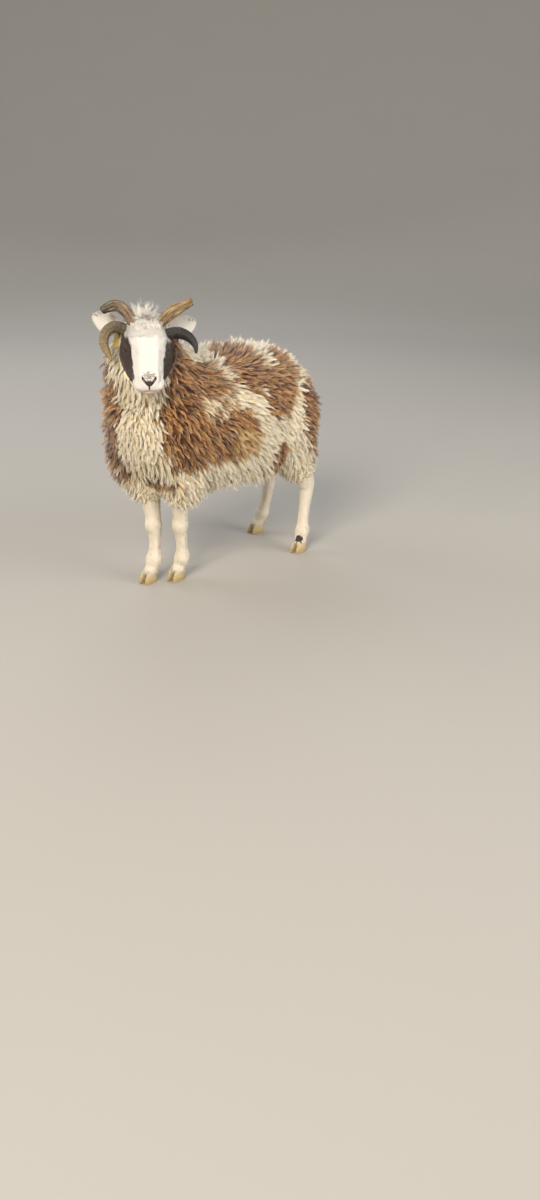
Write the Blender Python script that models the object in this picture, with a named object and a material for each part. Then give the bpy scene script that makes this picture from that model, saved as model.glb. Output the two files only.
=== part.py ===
"""A Jacob sheep at life size: a four-horned ewe in full fleece that stands and looks round at the viewer.

Axes: forward along the body is -Y, the sheep's left is +X, up is +Z and the floor is Z = 0.
Every length is in metres. The whole figure is centred on the origin at the end.
"""

import math
import random
from typing import NamedTuple

import bmesh
import bpy
from mathutils import Matrix, Vector
from mathutils.bvhtree import BVHTree

# Driving dimensions
GAP = 0.0003  # between neighbouring pieces
SOCKET_GAP = 0.0004  # round the root of a horn or an ear
CORE_SHARE = 0.45  # how far the solid core of the fleece reaches from skin to lock tips
HEAD_YAW = math.radians(57)  # the head looks this far round to the left
FACE_SLOPE = math.radians(49)  # of the line of the face below the horizontal
POLL = Vector((0.086, -0.357, 0.8775))  # top of the skull, between the horns
EYE_RADIUS = 0.0135
EYE_PLACE = (0.099, 0.0535, -0.034)  # along the face, to the side, above the line of the face
LID_THICKNESS = 0.0022
EYE_OPENING = (0.0260, 0.0125)  # length and height between the lids
FRONT_LEG_TOP = 0.335
HIND_LEG_TOP = 0.300
CORONET = 0.034  # height of the hoof's upper rim
HOOF_LENGTH = 0.062
CLAW_WIDTH = 0.023
CLAW_LEVELS = (  # height, then the reach of the toe, the width and the reach of the heel as shares
    (0.0, 1.0, 1.0, 1.0),
    (0.014, 0.90, 0.97, 1.0),
    (CORONET - GAP, 0.58, 0.86, 0.92),
)
DEWCLAW = (0.007, 0.016)  # radius and length of the small claws behind the fetlock
TAIL_BLOCK = (0.120, 0.300, 0.700)  # the block of space that the tail hangs in
LEG_SIDES = 8
BODY_SIDES = 16
HEAD_SIDES = 16
HORN_SIDES = 8
SEED = 7


class Section(NamedTuple):
    """One cross-section of a body part at the skin, with the depth of wool that stands on it."""

    centre: tuple
    half_width: float
    half_depth: float
    wool: float = 0.0


class LockSize(NamedTuple):
    """How the locks of one stretch of the coat grow."""

    length: float
    width: float
    thickness: float
    spacing: float


class HeadSection(NamedTuple):
    """One cross-section of the head: heights from the line of the face, and half widths."""

    along: float
    top: float
    bottom: float
    width_top: float
    width_mid: float
    width_low: float


class Horn(NamedTuple):
    """A horn's line as steps (outward, up, forward) from its root, with radii along it."""

    root: tuple
    steps: tuple
    radii: tuple
    flatness: float
    rings: int


TORSO = (
    Section((-0.008, 0.335, 0.550), 0.060, 0.085, 0.050),  # pin bones
    Section((-0.008, 0.285, 0.540), 0.102, 0.124, 0.058),  # rump
    Section((-0.006, 0.210, 0.526), 0.127, 0.154, 0.062),  # hips
    Section((-0.004, 0.110, 0.516), 0.140, 0.173, 0.061),  # loin
    Section((-0.002, 0.000, 0.512), 0.152, 0.178, 0.060),  # barrel
    Section((0.000, -0.110, 0.512), 0.149, 0.173, 0.060),  # girth
    Section((0.002, -0.210, 0.518), 0.142, 0.171, 0.062),  # shoulders
    Section((0.006, -0.290, 0.508), 0.124, 0.152, 0.062),  # breast
    Section((0.012, -0.345, 0.490), 0.082, 0.105, 0.058),  # brisket
)
NECK = (
    Section((-0.004, -0.190, 0.560), 0.108, 0.105, 0.060),
    Section((0.008, -0.255, 0.645), 0.102, 0.105, 0.062),
    Section((0.026, -0.306, 0.720), 0.088, 0.088, 0.058),
    Section((0.046, -0.326, 0.780), 0.068, 0.066, 0.036),
    Section((0.062, -0.338, 0.832), 0.052, 0.050, 0.014),
)
THIGH_LEFT = (
    Section((0.072, 0.215, 0.560), 0.060, 0.100, 0.052),
    Section((0.084, 0.225, 0.470), 0.058, 0.096, 0.050),
    Section((0.092, 0.250, 0.390), 0.046, 0.070, 0.046),
    Section((0.098, 0.285, 0.325), 0.034, 0.047, 0.032),
    Section((0.102, 0.305, 0.292), 0.028, 0.038, 0.018),
)
THIGH_RIGHT = (
    Section((-0.084, 0.220, 0.560), 0.060, 0.100, 0.052),
    Section((-0.094, 0.238, 0.470), 0.058, 0.096, 0.050),
    Section((-0.098, 0.266, 0.390), 0.046, 0.070, 0.046),
    Section((-0.099, 0.305, 0.325), 0.034, 0.047, 0.032),
    Section((-0.100, 0.325, 0.292), 0.028, 0.038, 0.018),
)
FOREARM_LEFT = (
    Section((0.082, -0.205, 0.500), 0.056, 0.082, 0.052),
    Section((0.078, -0.210, 0.410), 0.048, 0.060, 0.054),
    Section((0.068, -0.212, 0.340), 0.036, 0.044, 0.048),
    Section((0.058, -0.214, 0.288), 0.029, 0.034, 0.030),
)
FOREARM_RIGHT = (
    Section((-0.064, -0.245, 0.500), 0.070, 0.090, 0.056),
    Section((-0.072, -0.268, 0.410), 0.060, 0.072, 0.058),
    Section((-0.056, -0.272, 0.345), 0.042, 0.050, 0.048),
    Section((-0.042, -0.270, 0.294), 0.029, 0.034, 0.028),
)
TAIL = (
    Section((-0.006, 0.325, 0.625), 0.026, 0.022, 0.030),
    Section((-0.004, 0.372, 0.585), 0.024, 0.020, 0.034),
    Section((-0.002, 0.398, 0.520), 0.021, 0.018, 0.038),
    Section((0.000, 0.412, 0.440), 0.018, 0.016, 0.036),
    Section((0.002, 0.420, 0.365), 0.014, 0.012, 0.030),
    Section((0.004, 0.424, 0.320), 0.008, 0.007, 0.022),
)
LEGS = {
    "leg_front_left": (
        Section((0.056, -0.222, 0.370), 0.030, 0.036),  # forearm
        Section((0.050, -0.217, 0.290), 0.027, 0.032),
        Section((0.043, -0.212, 0.225), 0.024, 0.027),
        Section((0.040, -0.211, 0.190), 0.026, 0.028),  # knee
        Section((0.038, -0.207, 0.155), 0.020, 0.022),
        Section((0.036, -0.203, 0.110), 0.018, 0.020),  # cannon
        Section((0.034, -0.203, 0.072), 0.025, 0.027),  # fetlock
        Section((0.031, -0.211, 0.046), 0.021, 0.023),  # pastern
        Section((0.031, -0.224, 0.022), 0.023, 0.029),  # coronet
    ),
    "leg_front_right": (
        Section((-0.042, -0.268, 0.370), 0.030, 0.036),
        Section((-0.034, -0.270, 0.290), 0.027, 0.032),
        Section((-0.026, -0.272, 0.225), 0.024, 0.027),
        Section((-0.023, -0.273, 0.190), 0.026, 0.028),
        Section((-0.020, -0.271, 0.155), 0.020, 0.022),
        Section((-0.018, -0.275, 0.110), 0.018, 0.020),
        Section((-0.017, -0.282, 0.072), 0.025, 0.027),
        Section((-0.016, -0.292, 0.046), 0.021, 0.023),
        Section((-0.015, -0.305, 0.022), 0.023, 0.029),
    ),
    "leg_hind_left": (
        Section((0.098, 0.285, 0.345), 0.029, 0.040),  # gaskin
        Section((0.103, 0.312, 0.285), 0.026, 0.035),
        Section((0.106, 0.325, 0.245), 0.026, 0.034),  # hock
        Section((0.108, 0.320, 0.210), 0.022, 0.027),
        Section((0.111, 0.310, 0.150), 0.019, 0.022),  # cannon
        Section((0.114, 0.302, 0.105), 0.019, 0.021),
        Section((0.117, 0.296, 0.072), 0.025, 0.026),  # fetlock
        Section((0.119, 0.288, 0.046), 0.021, 0.023),  # pastern
        Section((0.122, 0.277, 0.022), 0.023, 0.029),  # coronet
    ),
    "leg_hind_right": (
        Section((-0.099, 0.300, 0.345), 0.029, 0.040),
        Section((-0.101, 0.332, 0.285), 0.026, 0.035),
        Section((-0.103, 0.348, 0.245), 0.026, 0.034),
        Section((-0.106, 0.345, 0.210), 0.022, 0.027),
        Section((-0.114, 0.340, 0.150), 0.019, 0.022),
        Section((-0.121, 0.334, 0.105), 0.019, 0.021),
        Section((-0.127, 0.327, 0.072), 0.025, 0.026),
        Section((-0.132, 0.318, 0.046), 0.021, 0.023),
        Section((-0.136, 0.306, 0.022), 0.023, 0.029),
    ),
}
HOOF_YAW = {  # the toes point this far to the left of straight ahead
    "leg_front_left": math.radians(14),
    "leg_front_right": math.radians(14),
    "leg_hind_left": math.radians(10),
    "leg_hind_right": math.radians(6),
}
HEAD = (
    HeadSection(-0.014, -0.026, -0.080, 0.026, 0.034, 0.028),  # back of the skull
    HeadSection(0.004, -0.002, -0.100, 0.038, 0.054, 0.046),  # poll
    HeadSection(0.035, 0.007, -0.120, 0.046, 0.064, 0.058),
    HeadSection(0.070, 0.010, -0.130, 0.050, 0.070, 0.067),  # forehead
    HeadSection(0.098, 0.008, -0.128, 0.048, 0.073, 0.072),  # eyes and jaw angle
    HeadSection(0.125, 0.004, -0.116, 0.040, 0.065, 0.070),
    HeadSection(0.155, 0.001, -0.098, 0.036, 0.053, 0.062),  # bridge of the nose
    HeadSection(0.187, -0.001, -0.079, 0.031, 0.042, 0.047),
    HeadSection(0.210, -0.004, -0.070, 0.028, 0.040, 0.035),  # nostrils
    HeadSection(0.226, -0.010, -0.064, 0.024, 0.037, 0.029),  # lips
    HeadSection(0.235, -0.017, -0.056, 0.019, 0.031, 0.024),
    HeadSection(0.241, -0.025, -0.048, 0.012, 0.020, 0.015),
)
HORNS = {
    "horn_upper_left": Horn(
        root=(0.034, 0.038, -0.012),
        steps=(
            (0.000, 0.000, 0.000),
            (0.034, 0.028, -0.008),
            (0.066, 0.042, -0.022),
            (0.100, 0.058, -0.034),
        ),
        radii=(0.0200, 0.0185, 0.0170, 0.0135),
        flatness=0.80,
        rings=8,
    ),
    "horn_upper_right": Horn(
        root=(0.036, -0.033, -0.012),
        steps=(
            (0.000, 0.000, 0.000),
            (0.022, 0.036, -0.004),
            (0.050, 0.050, -0.016),
            (0.089, 0.034, -0.022),
        ),
        radii=(0.0200, 0.0190, 0.0170, 0.0110),
        flatness=0.80,
        rings=8,
    ),
    "horn_side_left": Horn(
        root=(0.053, 0.055, -0.039),
        steps=(
            (0.000, 0.000, 0.000),
            (0.034, 0.006, 0.000),
            (0.066, -0.004, 0.006),
            (0.084, -0.026, 0.014),
            (0.086, -0.050, 0.024),
        ),
        radii=(0.0185, 0.0175, 0.0150, 0.0105, 0.0040),
        flatness=0.85,
        rings=9,
    ),
    "horn_side_right": Horn(
        root=(0.038, -0.054, -0.038),
        steps=(
            (0.000, 0.000, 0.000),
            (0.030, 0.010, 0.000),
            (0.056, -0.003, 0.006),
            (0.066, -0.030, 0.016),
            (0.057, -0.058, 0.028),
            (0.046, -0.078, 0.038),
        ),
        radii=(0.0180, 0.0180, 0.0170, 0.0145, 0.0100, 0.0040),
        flatness=0.85,
        rings=10,
    ),
}
EARS = {  # root on the head, then the tip's steps outward, up and forward, and the length
    "ear_left": ((0.022, 0.050, -0.066), (0.93, 0.18, -0.32)),
    "ear_right": ((0.022, -0.050, -0.067), (0.85, 0.35, -0.40)),
}
EAR_LENGTH = 0.112
EAR_HALF_WIDTH = 0.026
EAR_THICKNESS = 0.0035
TAG_SIZE = (0.012, 0.030, 0.030, 0.0022)  # width at the top and the bottom, drop, thickness
TAG_PLACE = 0.32  # share of the ear's length from its root
STUD_RADIUS = 0.0055
STUD_LENGTH = 0.012
LOCKS = {
    "back": LockSize(0.114, 0.080, 0.032, 0.084),
    "side": LockSize(0.138, 0.082, 0.034, 0.087),
    "neck": LockSize(0.116, 0.072, 0.032, 0.076),
    "belly": LockSize(0.085, 0.084, 0.030, 0.100),
    "thigh": LockSize(0.098, 0.064, 0.028, 0.073),
    "hem": LockSize(0.064, 0.046, 0.020, 0.055),
    "tail": LockSize(0.088, 0.046, 0.022, 0.058),
}
# Along a lock: the share of its length, of its lift, of its width and of its thickness
LOCK_PROFILE = (
    (-0.16, -0.55, 0.60, 0.70),
    (0.26, 0.56, 1.00, 1.00),
    (0.74, 0.88, 0.80, 0.66),
)
LOCK_TIP = (1.10, 0.98)
# Round a lock: across and outward, as shares of half its width and half its thickness
LOCK_OUTLINE = ((1.0, -0.1), (0.58, 0.9), (-0.58, 0.9), (-1.0, -0.1), (0.0, -0.8))
LEAST_WOOL = 0.010  # between the core and the lock tips
MOST_WOOL = 0.048
TOPKNOT = LockSize(0.044, 0.024, 0.014, 0.0)


# Frames of reference

FACING = Vector((math.sin(HEAD_YAW), -math.cos(HEAD_YAW), 0.0))
FACE_LEFT = Vector((-FACING.y, FACING.x, 0.0))
FACE_ALONG = math.cos(FACE_SLOPE) * FACING - math.sin(FACE_SLOPE) * Vector((0, 0, 1))
FACE_UP = math.sin(FACE_SLOPE) * FACING + math.cos(FACE_SLOPE) * Vector((0, 0, 1))


def on_head(along, side, above):
    """A point given along the face from the poll, to the head's left and above the line of the face."""
    return POLL + along * FACE_ALONG + side * FACE_LEFT + above * FACE_UP


def from_head(outward, up, forward):
    """A direction given to the head's left, up and the way the head faces."""
    return outward * FACE_LEFT + up * Vector((0, 0, 1)) + forward * FACING


# Mesh tools


def clear_scene():
    for obj in list(bpy.data.objects):
        bpy.data.objects.remove(obj)


def material(name, colour, roughness):
    made = bpy.data.materials.new(name)
    made.use_nodes = True
    shader = made.node_tree.nodes["Principled BSDF"]
    shader.inputs["Base Color"].default_value = (*colour, 1.0)
    shader.inputs["Roughness"].default_value = roughness
    shader.inputs["Metallic"].default_value = 0.0
    return made


def closed_object(name, rings, first_tip=None, last_tip=None):
    """A closed mesh skinned over rings of points, with a fan to a tip, or a flat cap, at each end."""
    bm = bmesh.new()
    rows = [[bm.verts.new(point) for point in ring] for ring in rings]
    sides = len(rows[0])
    for row, following in zip(rows, rows[1:]):
        for i in range(sides):
            j = (i + 1) % sides
            bm.faces.new((row[i], row[j], following[j], following[i]))
    for row, tip in ((rows[0], first_tip), (rows[-1], last_tip)):
        if tip is None:
            bm.faces.new(row)
            continue
        apex = bm.verts.new(tip)
        for i in range(sides):
            bm.faces.new((row[i], row[(i + 1) % sides], apex))
    bmesh.ops.recalc_face_normals(bm, faces=bm.faces)
    bmesh.ops.triangulate(bm, faces=bm.faces)
    mesh = bpy.data.meshes.new(name)
    bm.to_mesh(mesh)
    bm.free()
    return bpy.data.objects.new(name, mesh)


def spline(values, at):
    """The Catmull-Rom curve through equal-length tuples, read at a share from 0 to 1 of its run."""
    place = min(at, 1.0) * (len(values) - 1)
    i = min(int(place), len(values) - 2)
    f = place - i
    before, start = values[max(i - 1, 0)], values[i]
    end, after = values[i + 1], values[min(i + 2, len(values) - 1)]
    return tuple(
        0.5 * (2 * b + (c - a) * f + (2 * a - 5 * b + 4 * c - d) * f**2 + (3 * b - a - 3 * c + d) * f**3)
        for a, b, c, d in zip(before, start, end, after)
    )


def shares(count):
    """The numbers from 0 to 1 in count equal steps."""
    return [i / count for i in range(count + 1)]


def oval(centre, side, up, half_width, half_depth, sides, squareness=2.0):
    """A ring of points on a superellipse."""
    ring = []
    for i in range(sides):
        angle = 2 * math.pi * i / sides
        c, s = math.cos(angle), math.sin(angle)
        across = math.copysign(abs(c) ** (2 / squareness), c) * half_width
        upward = math.copysign(abs(s) ** (2 / squareness), s) * half_depth
        ring.append(centre + across * side + upward * up)
    return ring


def dome(ring, inner):
    """A smaller ring and a tip that round off an end ring, away from the point before it."""
    middle = sum(ring, Vector()) / len(ring)
    radius = min((point - middle).length for point in ring)
    outward = (middle - inner).normalized()
    smaller = [middle + 0.72 * (point - middle) + 0.34 * radius * outward for point in ring]
    return smaller, middle + 0.48 * radius * outward


def tube(name, sections, share, sides, steps, grow=0.0, domed=True):
    """A closed tube through cross-sections, each grown by a share of its wool."""
    flat = [(*s.centre, s.half_width, s.half_depth, s.wool) for s in sections]
    read = [spline(flat, at) for at in shares(steps)]
    centres = [Vector(value[:3]) for value in read]
    rings = []
    for i, value in enumerate(read):
        along = (centres[min(i + 1, steps)] - centres[max(i - 1, 0)]).normalized()
        side = (Vector((1, 0, 0)) - along.x * along).normalized()
        up = side.cross(along)
        extra = share * value[5] + grow
        rings.append(oval(centres[i], side, up, value[3] + extra, value[4] + extra, sides, 2.2))
    if not domed:
        return closed_object(name, rings)
    first_ring, first_tip = dome(rings[0], centres[1])
    last_ring, last_tip = dome(rings[-1], centres[-2])
    return closed_object(name, [first_ring, *rings, last_ring], first_tip, last_tip)


def apply_modifiers(obj):
    """The object's mesh as its modifiers make it, with the modifiers gone."""
    if obj.name not in bpy.context.scene.collection.objects:
        bpy.context.scene.collection.objects.link(obj)
    graph = bpy.context.evaluated_depsgraph_get()
    mesh = bpy.data.meshes.new_from_object(obj.evaluated_get(graph))
    obj.modifiers.clear()
    obj.data = mesh


def boolean(obj, operation, others, solver="EXACT"):
    """The object joined with, or cut by, every other object in one go. The others are removed."""
    pieces = bpy.data.collections.new("pieces")
    bpy.context.scene.collection.children.link(pieces)
    for other in others:
        pieces.objects.link(other)
    modifier = obj.modifiers.new(operation.lower(), "BOOLEAN")
    modifier.operation = operation
    modifier.operand_type = "COLLECTION"
    modifier.collection = pieces
    modifier.solver = solver
    apply_modifiers(obj)
    for other in others:
        bpy.data.objects.remove(other)
    bpy.data.collections.remove(pieces)
    return obj


def volume_of(triangles):
    """The volume inside a closed surface."""
    return sum(f.verts[0].co.dot(f.verts[1].co.cross(f.verts[2].co)) for f in triangles) / 6


def keep_largest(obj):
    """Leaves only the closed surface with the most volume, so that loose scraps and sealed hollows go."""
    bm = bmesh.new()
    bm.from_mesh(obj.data)
    bmesh.ops.triangulate(bm, faces=bm.faces)
    unseen, islands = set(bm.faces), []
    while unseen:
        stack, island = [unseen.pop()], []
        while stack:
            face = stack.pop()
            island.append(face)
            for edge in face.edges:
                for near in edge.link_faces:
                    if near in unseen:
                        unseen.remove(near)
                        stack.append(near)
        islands.append(island)
    best = max(islands, key=volume_of)
    for island in islands:
        if island is not best:
            bmesh.ops.delete(bm, geom=island, context="FACES")
    bm.to_mesh(obj.data)
    bm.free()
    return obj


def spindle(name, start, end, radius, flatness=1.0, across=None):
    """A closed six-sided spindle between two points."""
    along = (end - start).normalized()
    across = across or along.orthogonal().normalized()
    across = (across - across.dot(along) * along).normalized()
    rings = []
    for share in (0.22, 0.50, 0.78):
        fullness = math.sin(math.pi * share)
        centre = start + (end - start) * share
        wide = radius * fullness
        rings.append(oval(centre, across, along.cross(across), wide, wide * flatness, 6))
    return closed_object(name, rings, start, end)


def ball(name, centre, radius, subdivisions=2):
    bm = bmesh.new()
    bmesh.ops.create_icosphere(bm, subdivisions=subdivisions, radius=radius)
    bm.transform(Matrix.Translation(centre))
    mesh = bpy.data.meshes.new(name)
    bm.to_mesh(mesh)
    bm.free()
    return bpy.data.objects.new(name, mesh)


def copy_of(obj, name):
    return bpy.data.objects.new(name, obj.data.copy())


def block_behind(point, normal, size=2.0):
    """A large box whose one face lies on the plane through point and whose body is behind the plane."""
    bm = bmesh.new()
    bmesh.ops.create_cube(bm, size=size)
    normal = Vector(normal).normalized()
    turn = Vector((0, 0, 1)).rotation_difference(normal).to_matrix().to_4x4()
    bm.transform(Matrix.Translation(Vector(point) - normal * size / 2) @ turn)
    mesh = bpy.data.meshes.new("block")
    bm.to_mesh(mesh)
    bm.free()
    return bpy.data.objects.new("block", mesh)


def split(obj, name, point, normal):
    """Parts the object along a plane, with half the gap on each side. The new object is in front of it."""
    normal = Vector(normal).normalized()
    front = copy_of(obj, name)
    boolean(front, "DIFFERENCE", [block_behind(Vector(point) + normal * GAP / 2, normal)])
    boolean(obj, "DIFFERENCE", [block_behind(Vector(point) - normal * GAP / 2, -normal)])
    return front


# Fleece


def fleece_mass(share):
    """The whole woolly body as one solid, out to a share of the wool's depth."""
    torso = tube("torso", TORSO, share, BODY_SIDES, 12)
    others = [
        tube("neck", NECK, share, 12, 6),
        tube("thigh", THIGH_LEFT, share, 10, 5),
        tube("thigh", THIGH_RIGHT, share, 10, 5),
        tube("forearm", FOREARM_LEFT, share, 10, 4),
        tube("forearm", FOREARM_RIGHT, share, 10, 4),
        tube("tail", TAIL, share, 8, 6),
    ]
    return boolean(torso, "UNION", others)


def tree_of(obj):
    points = [vertex.co for vertex in obj.data.vertices]
    return BVHTree.FromPolygons(points, [list(face.vertices) for face in obj.data.polygons])


def stretch_of(place, normal):
    """The stretch of coat that a point on the fleece lies in."""
    if abs(place.x) < 0.055 and place.y > 0.355:
        return "tail"
    if place.y > 0.10 and place.z < 0.46:
        return "thigh"
    if place.z < 0.365 and place.y < -0.12:
        return "hem"
    if place.z > 0.62 and place.y < -0.16:
        return "neck"
    if normal.z < -0.6:
        return "belly"
    return "back" if normal.z > 0.55 else "side"


def lie_of(place, normal):
    """The way the coat lies at a point: down and back, and along the back toward the tail."""
    lie = Vector((0.25 * normal.x, 0.55, -1.0))
    if stretch_of(place, normal) in ("tail", "thigh", "neck"):
        lie = Vector((0.0, 0.20, -1.0))
    if place.y < -0.30:
        lie = Vector((0.15 * normal.x, -0.10, -1.0))
    return (lie - lie.dot(normal) * normal).normalized()


def lock_object(path, across, widths, thicknesses, tip):
    """One flat, tapered lock along a path of points, with a rounded outer face."""
    rings = []
    for i, centre in enumerate(path):
        along = ((*path, tip)[i + 1] - path[max(i - 1, 0)]).normalized()
        side = (across - across.dot(along) * along).normalized() * widths[i] / 2
        outward = along.cross(side).normalized() * thicknesses[i] / 2
        rings.append([centre + x * side + y * outward for x, y in LOCK_OUTLINE])
    return closed_object("lock", rings, None, tip)


def coat_lock(core, place, normal, reach, chance):
    """A lock that grows at a place on the core, follows the body round and bends a little to one side."""
    size = LOCKS[stretch_of(place, normal)]
    scale = chance.uniform(0.88, 1.14)
    length = size.length * scale * min(1.15, 0.45 + 0.55 * reach / 0.033)
    lie = lie_of(place, normal)
    lie = (lie + chance.uniform(-0.28, 0.28) * normal.cross(lie)).normalized()
    across = normal.cross(lie)
    bend = chance.uniform(-0.20, 0.20) * length
    path = []
    for run, lift, _, _ in (*LOCK_PROFILE, (*LOCK_TIP, 0, 0)):
        ahead = place + lie * length * run + across * bend * run * abs(run)
        ground, upward, _, _ = core.find_nearest(ahead)
        if ground is None or upward.dot(normal) < -0.2:
            ground, upward = ahead, normal
        blend = (upward + normal).normalized()
        path.append(ground + blend * (reach * lift if lift > 0 else lift * size.thickness))
    widths = [size.width * scale * share for _, _, share, _ in LOCK_PROFILE]
    thicknesses = [size.thickness * scale * share for _, _, _, share in LOCK_PROFILE]
    return lock_object(path[:-1], across, widths, thicknesses, path[-1])


def lock_places(core_object, envelope, chance):
    """Places spread evenly over the core, each with its normal and its distance to the lock tips."""
    mesh = core_object.data
    mesh.calc_loop_triangles()
    triangles = [[mesh.vertices[i].co for i in t.vertices] for t in mesh.loop_triangles]
    areas = [((b - a).cross(c - a)).length / 2 for a, b, c in triangles]
    chosen = []
    for _ in range(9000):
        a, b, c = chance.choices(triangles, areas)[0]
        r, t = math.sqrt(chance.random()), chance.random()
        place = (1 - r) * a + r * (1 - t) * b + r * t * c
        normal = (b - a).cross(c - a).normalized()
        spacing = LOCKS[stretch_of(place, normal)].spacing
        if any((place - other[0]).length < spacing for other in chosen):
            continue
        hit = envelope.ray_cast(place + normal * 0.001, normal)[3]
        if hit is None or hit > MOST_WOOL * 2:
            continue
        chosen.append((place, normal, min(max(hit, LEAST_WOOL), MOST_WOOL)))
    return chosen


def fleece():
    """The fleece: its core with all of its locks joined to it."""
    chance = random.Random(SEED)
    core_object = fleece_mass(CORE_SHARE)
    full = fleece_mass(1.0)
    core, envelope = tree_of(core_object), tree_of(full)
    bpy.data.objects.remove(full)
    locks = [coat_lock(core, *spot, chance) for spot in lock_places(core_object, envelope, chance)]
    return boolean(core_object, "UNION", locks, "MANIFOLD")


# Legs and hooves


def leg_tube(name, grow=0.0):
    top = HIND_LEG_TOP if "hind" in name else FRONT_LEG_TOP
    leg = tube(name, LEGS[name], 0.0, LEG_SIDES, 12, grow, domed=False)
    above, below = block_behind((0, 0, top + grow), (0, 0, -1)), block_behind((0, 0, CORONET), (0, 0, 1))
    return boolean(leg, "DIFFERENCE", [above, below])


def heading(name):
    """The way a foot points, and its left."""
    yaw = HOOF_YAW[name]
    forward = Vector((math.sin(yaw), -math.cos(yaw), 0.0))
    return forward, Vector((-forward.y, forward.x, 0.0))


def claw(name, leg, outward):
    """One half of a cloven hoof: a wedge with a pointed toe and a flat sole on the floor."""
    forward, left = heading(leg)
    middle = Vector(LEGS[leg][-1].centre)
    middle.z = 0.0
    rings = []
    for height, reach, width, back in CLAW_LEVELS:
        ring = []
        for i in range(8):
            angle = 2 * math.pi * i / 8
            c, s = math.cos(angle), math.sin(angle)
            run = c * HOOF_LENGTH * (0.62 * reach if c > 0 else 0.38 * back)
            side = s * 0.5 * CLAW_WIDTH * width * (1 - 0.30 * max(c, 0.0))
            centre = outward * (0.5 * CLAW_WIDTH + GAP)
            ring.append(middle + forward * run + left * (centre + side) + Vector((0, 0, height)))
        rings.append(ring)
    inner = closed_object(name, rings)
    wall = middle + left * outward * GAP
    return boolean(inner, "DIFFERENCE", [block_behind(wall, left * outward)])


def dewclaws(name):
    """The two small claws behind the fetlock."""
    forward, left = heading(name)
    fetlock = Vector(LEGS[name][-3].centre)
    radius, length = DEWCLAW
    made = []
    for outward in (1, -1):
        start = fetlock - forward * 0.010 + left * outward * 0.012 + Vector((0, 0, 0.004))
        end = start - forward * (length + 0.008) + left * outward * 0.002 - Vector((0, 0, length))
        made.append(spindle("dewclaw", start, end, radius))
    return made


def make_feet_and_legs():
    made = []
    for name in LEGS:
        made.append(boolean(leg_tube(name), "UNION", dewclaws(name)))
        foot = name.replace("leg", "hoof")
        for side, outward in (("left", 1), ("right", -1)):
            made.append(claw(f"{foot}_claw_{side}", name, outward))
    return made


# Head


def head_ring(section, sides):
    """Points round the head at one section, starting at the top of the face and going to its left."""
    along, top, bottom, width_top, width_mid, width_low = section
    height = top - bottom
    corners = (
        (0.0, top),
        (0.62 * width_top, top - 0.02 * height),
        (width_top, top - 0.14 * height),
        (width_mid, top - 0.42 * height),
        (width_low, top - 0.72 * height),
        (0.66 * width_low, bottom + 0.07 * height),
        (0.0, bottom),
    )
    half = [spline(corners, at) for at in shares(sides // 2)]
    other = [(-across, above) for across, above in reversed(half[1:-1])]
    return [on_head(along, across, above) for across, above in half + other]


def head_body(grow=0.0):
    sections = [HeadSection(*spline(HEAD, at)) for at in shares(20)]
    rings = []
    for along, top, bottom, *widths in sections:
        grown = HeadSection(along, top + grow, bottom - grow, *(width + grow for width in widths))
        rings.append(head_ring(grown, HEAD_SIDES))
    back = on_head(HEAD[0].along - 0.008 - grow, 0, -0.053)
    front = on_head(HEAD[-1].along + 0.003 + grow, 0, -0.034)
    return closed_object("head", rings, back, front)


def eye_frame(side):
    """An eye's centre, the way it looks, and the line and height of its opening."""
    along, out, above = EYE_PLACE
    gaze = (side * 0.93 * FACE_LEFT + 0.34 * FACING + Vector((0, 0, 0.08))).normalized()
    line = FACE_ALONG + 0.5 * FACING
    line = (line - line.dot(gaze) * gaze).normalized()
    return on_head(along, side * out, above), gaze, line, gaze.cross(line)


def eye_opening(side):
    """The almond-shaped space between the lids, as a prism from inside the eye outward."""
    centre, gaze, line, height = eye_frame(side)
    length, tall = EYE_OPENING
    outline = []
    for i in range(12):
        angle = 2 * math.pi * i / 12
        across = math.cos(angle)
        rise = math.sin(angle) * (1 - 0.35 * across**2)
        outline.append(0.5 * length * across * line + 0.5 * tall * rise * height)
    rings = [[centre + gaze * depth + point for point in outline] for depth in (0.004, 0.030)]
    return closed_object("opening", rings)


def mouth_line(body):
    """A wedge that follows the muzzle's surface, to cut the line of the mouth."""
    surface = tree_of(body)
    centre = on_head(0.200, 0, -0.046)
    forward = (FACE_ALONG + 0.12 * FACE_UP).normalized()
    rings = []
    for step in range(13):
        angle = math.radians(-102 + 17 * step)
        outward = math.cos(angle) * forward + math.sin(angle) * FACE_LEFT
        hit = surface.ray_cast(centre, outward)[0]
        up = forward.cross(FACE_LEFT).normalized()
        open_end = hit + outward * 0.003
        rings.append([hit - outward * 0.004, open_end + up * 0.0016, open_end - up * 0.0016])
    return closed_object("mouth", rings)


def nostril(side):
    """A comma-shaped pit that slants down and in."""
    start = on_head(0.203, side * 0.0185, -0.008)
    end = on_head(0.232, side * 0.0045, -0.017)
    return spindle("nostril", start, end, 0.0042, 1.6, FACE_LEFT)


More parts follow.
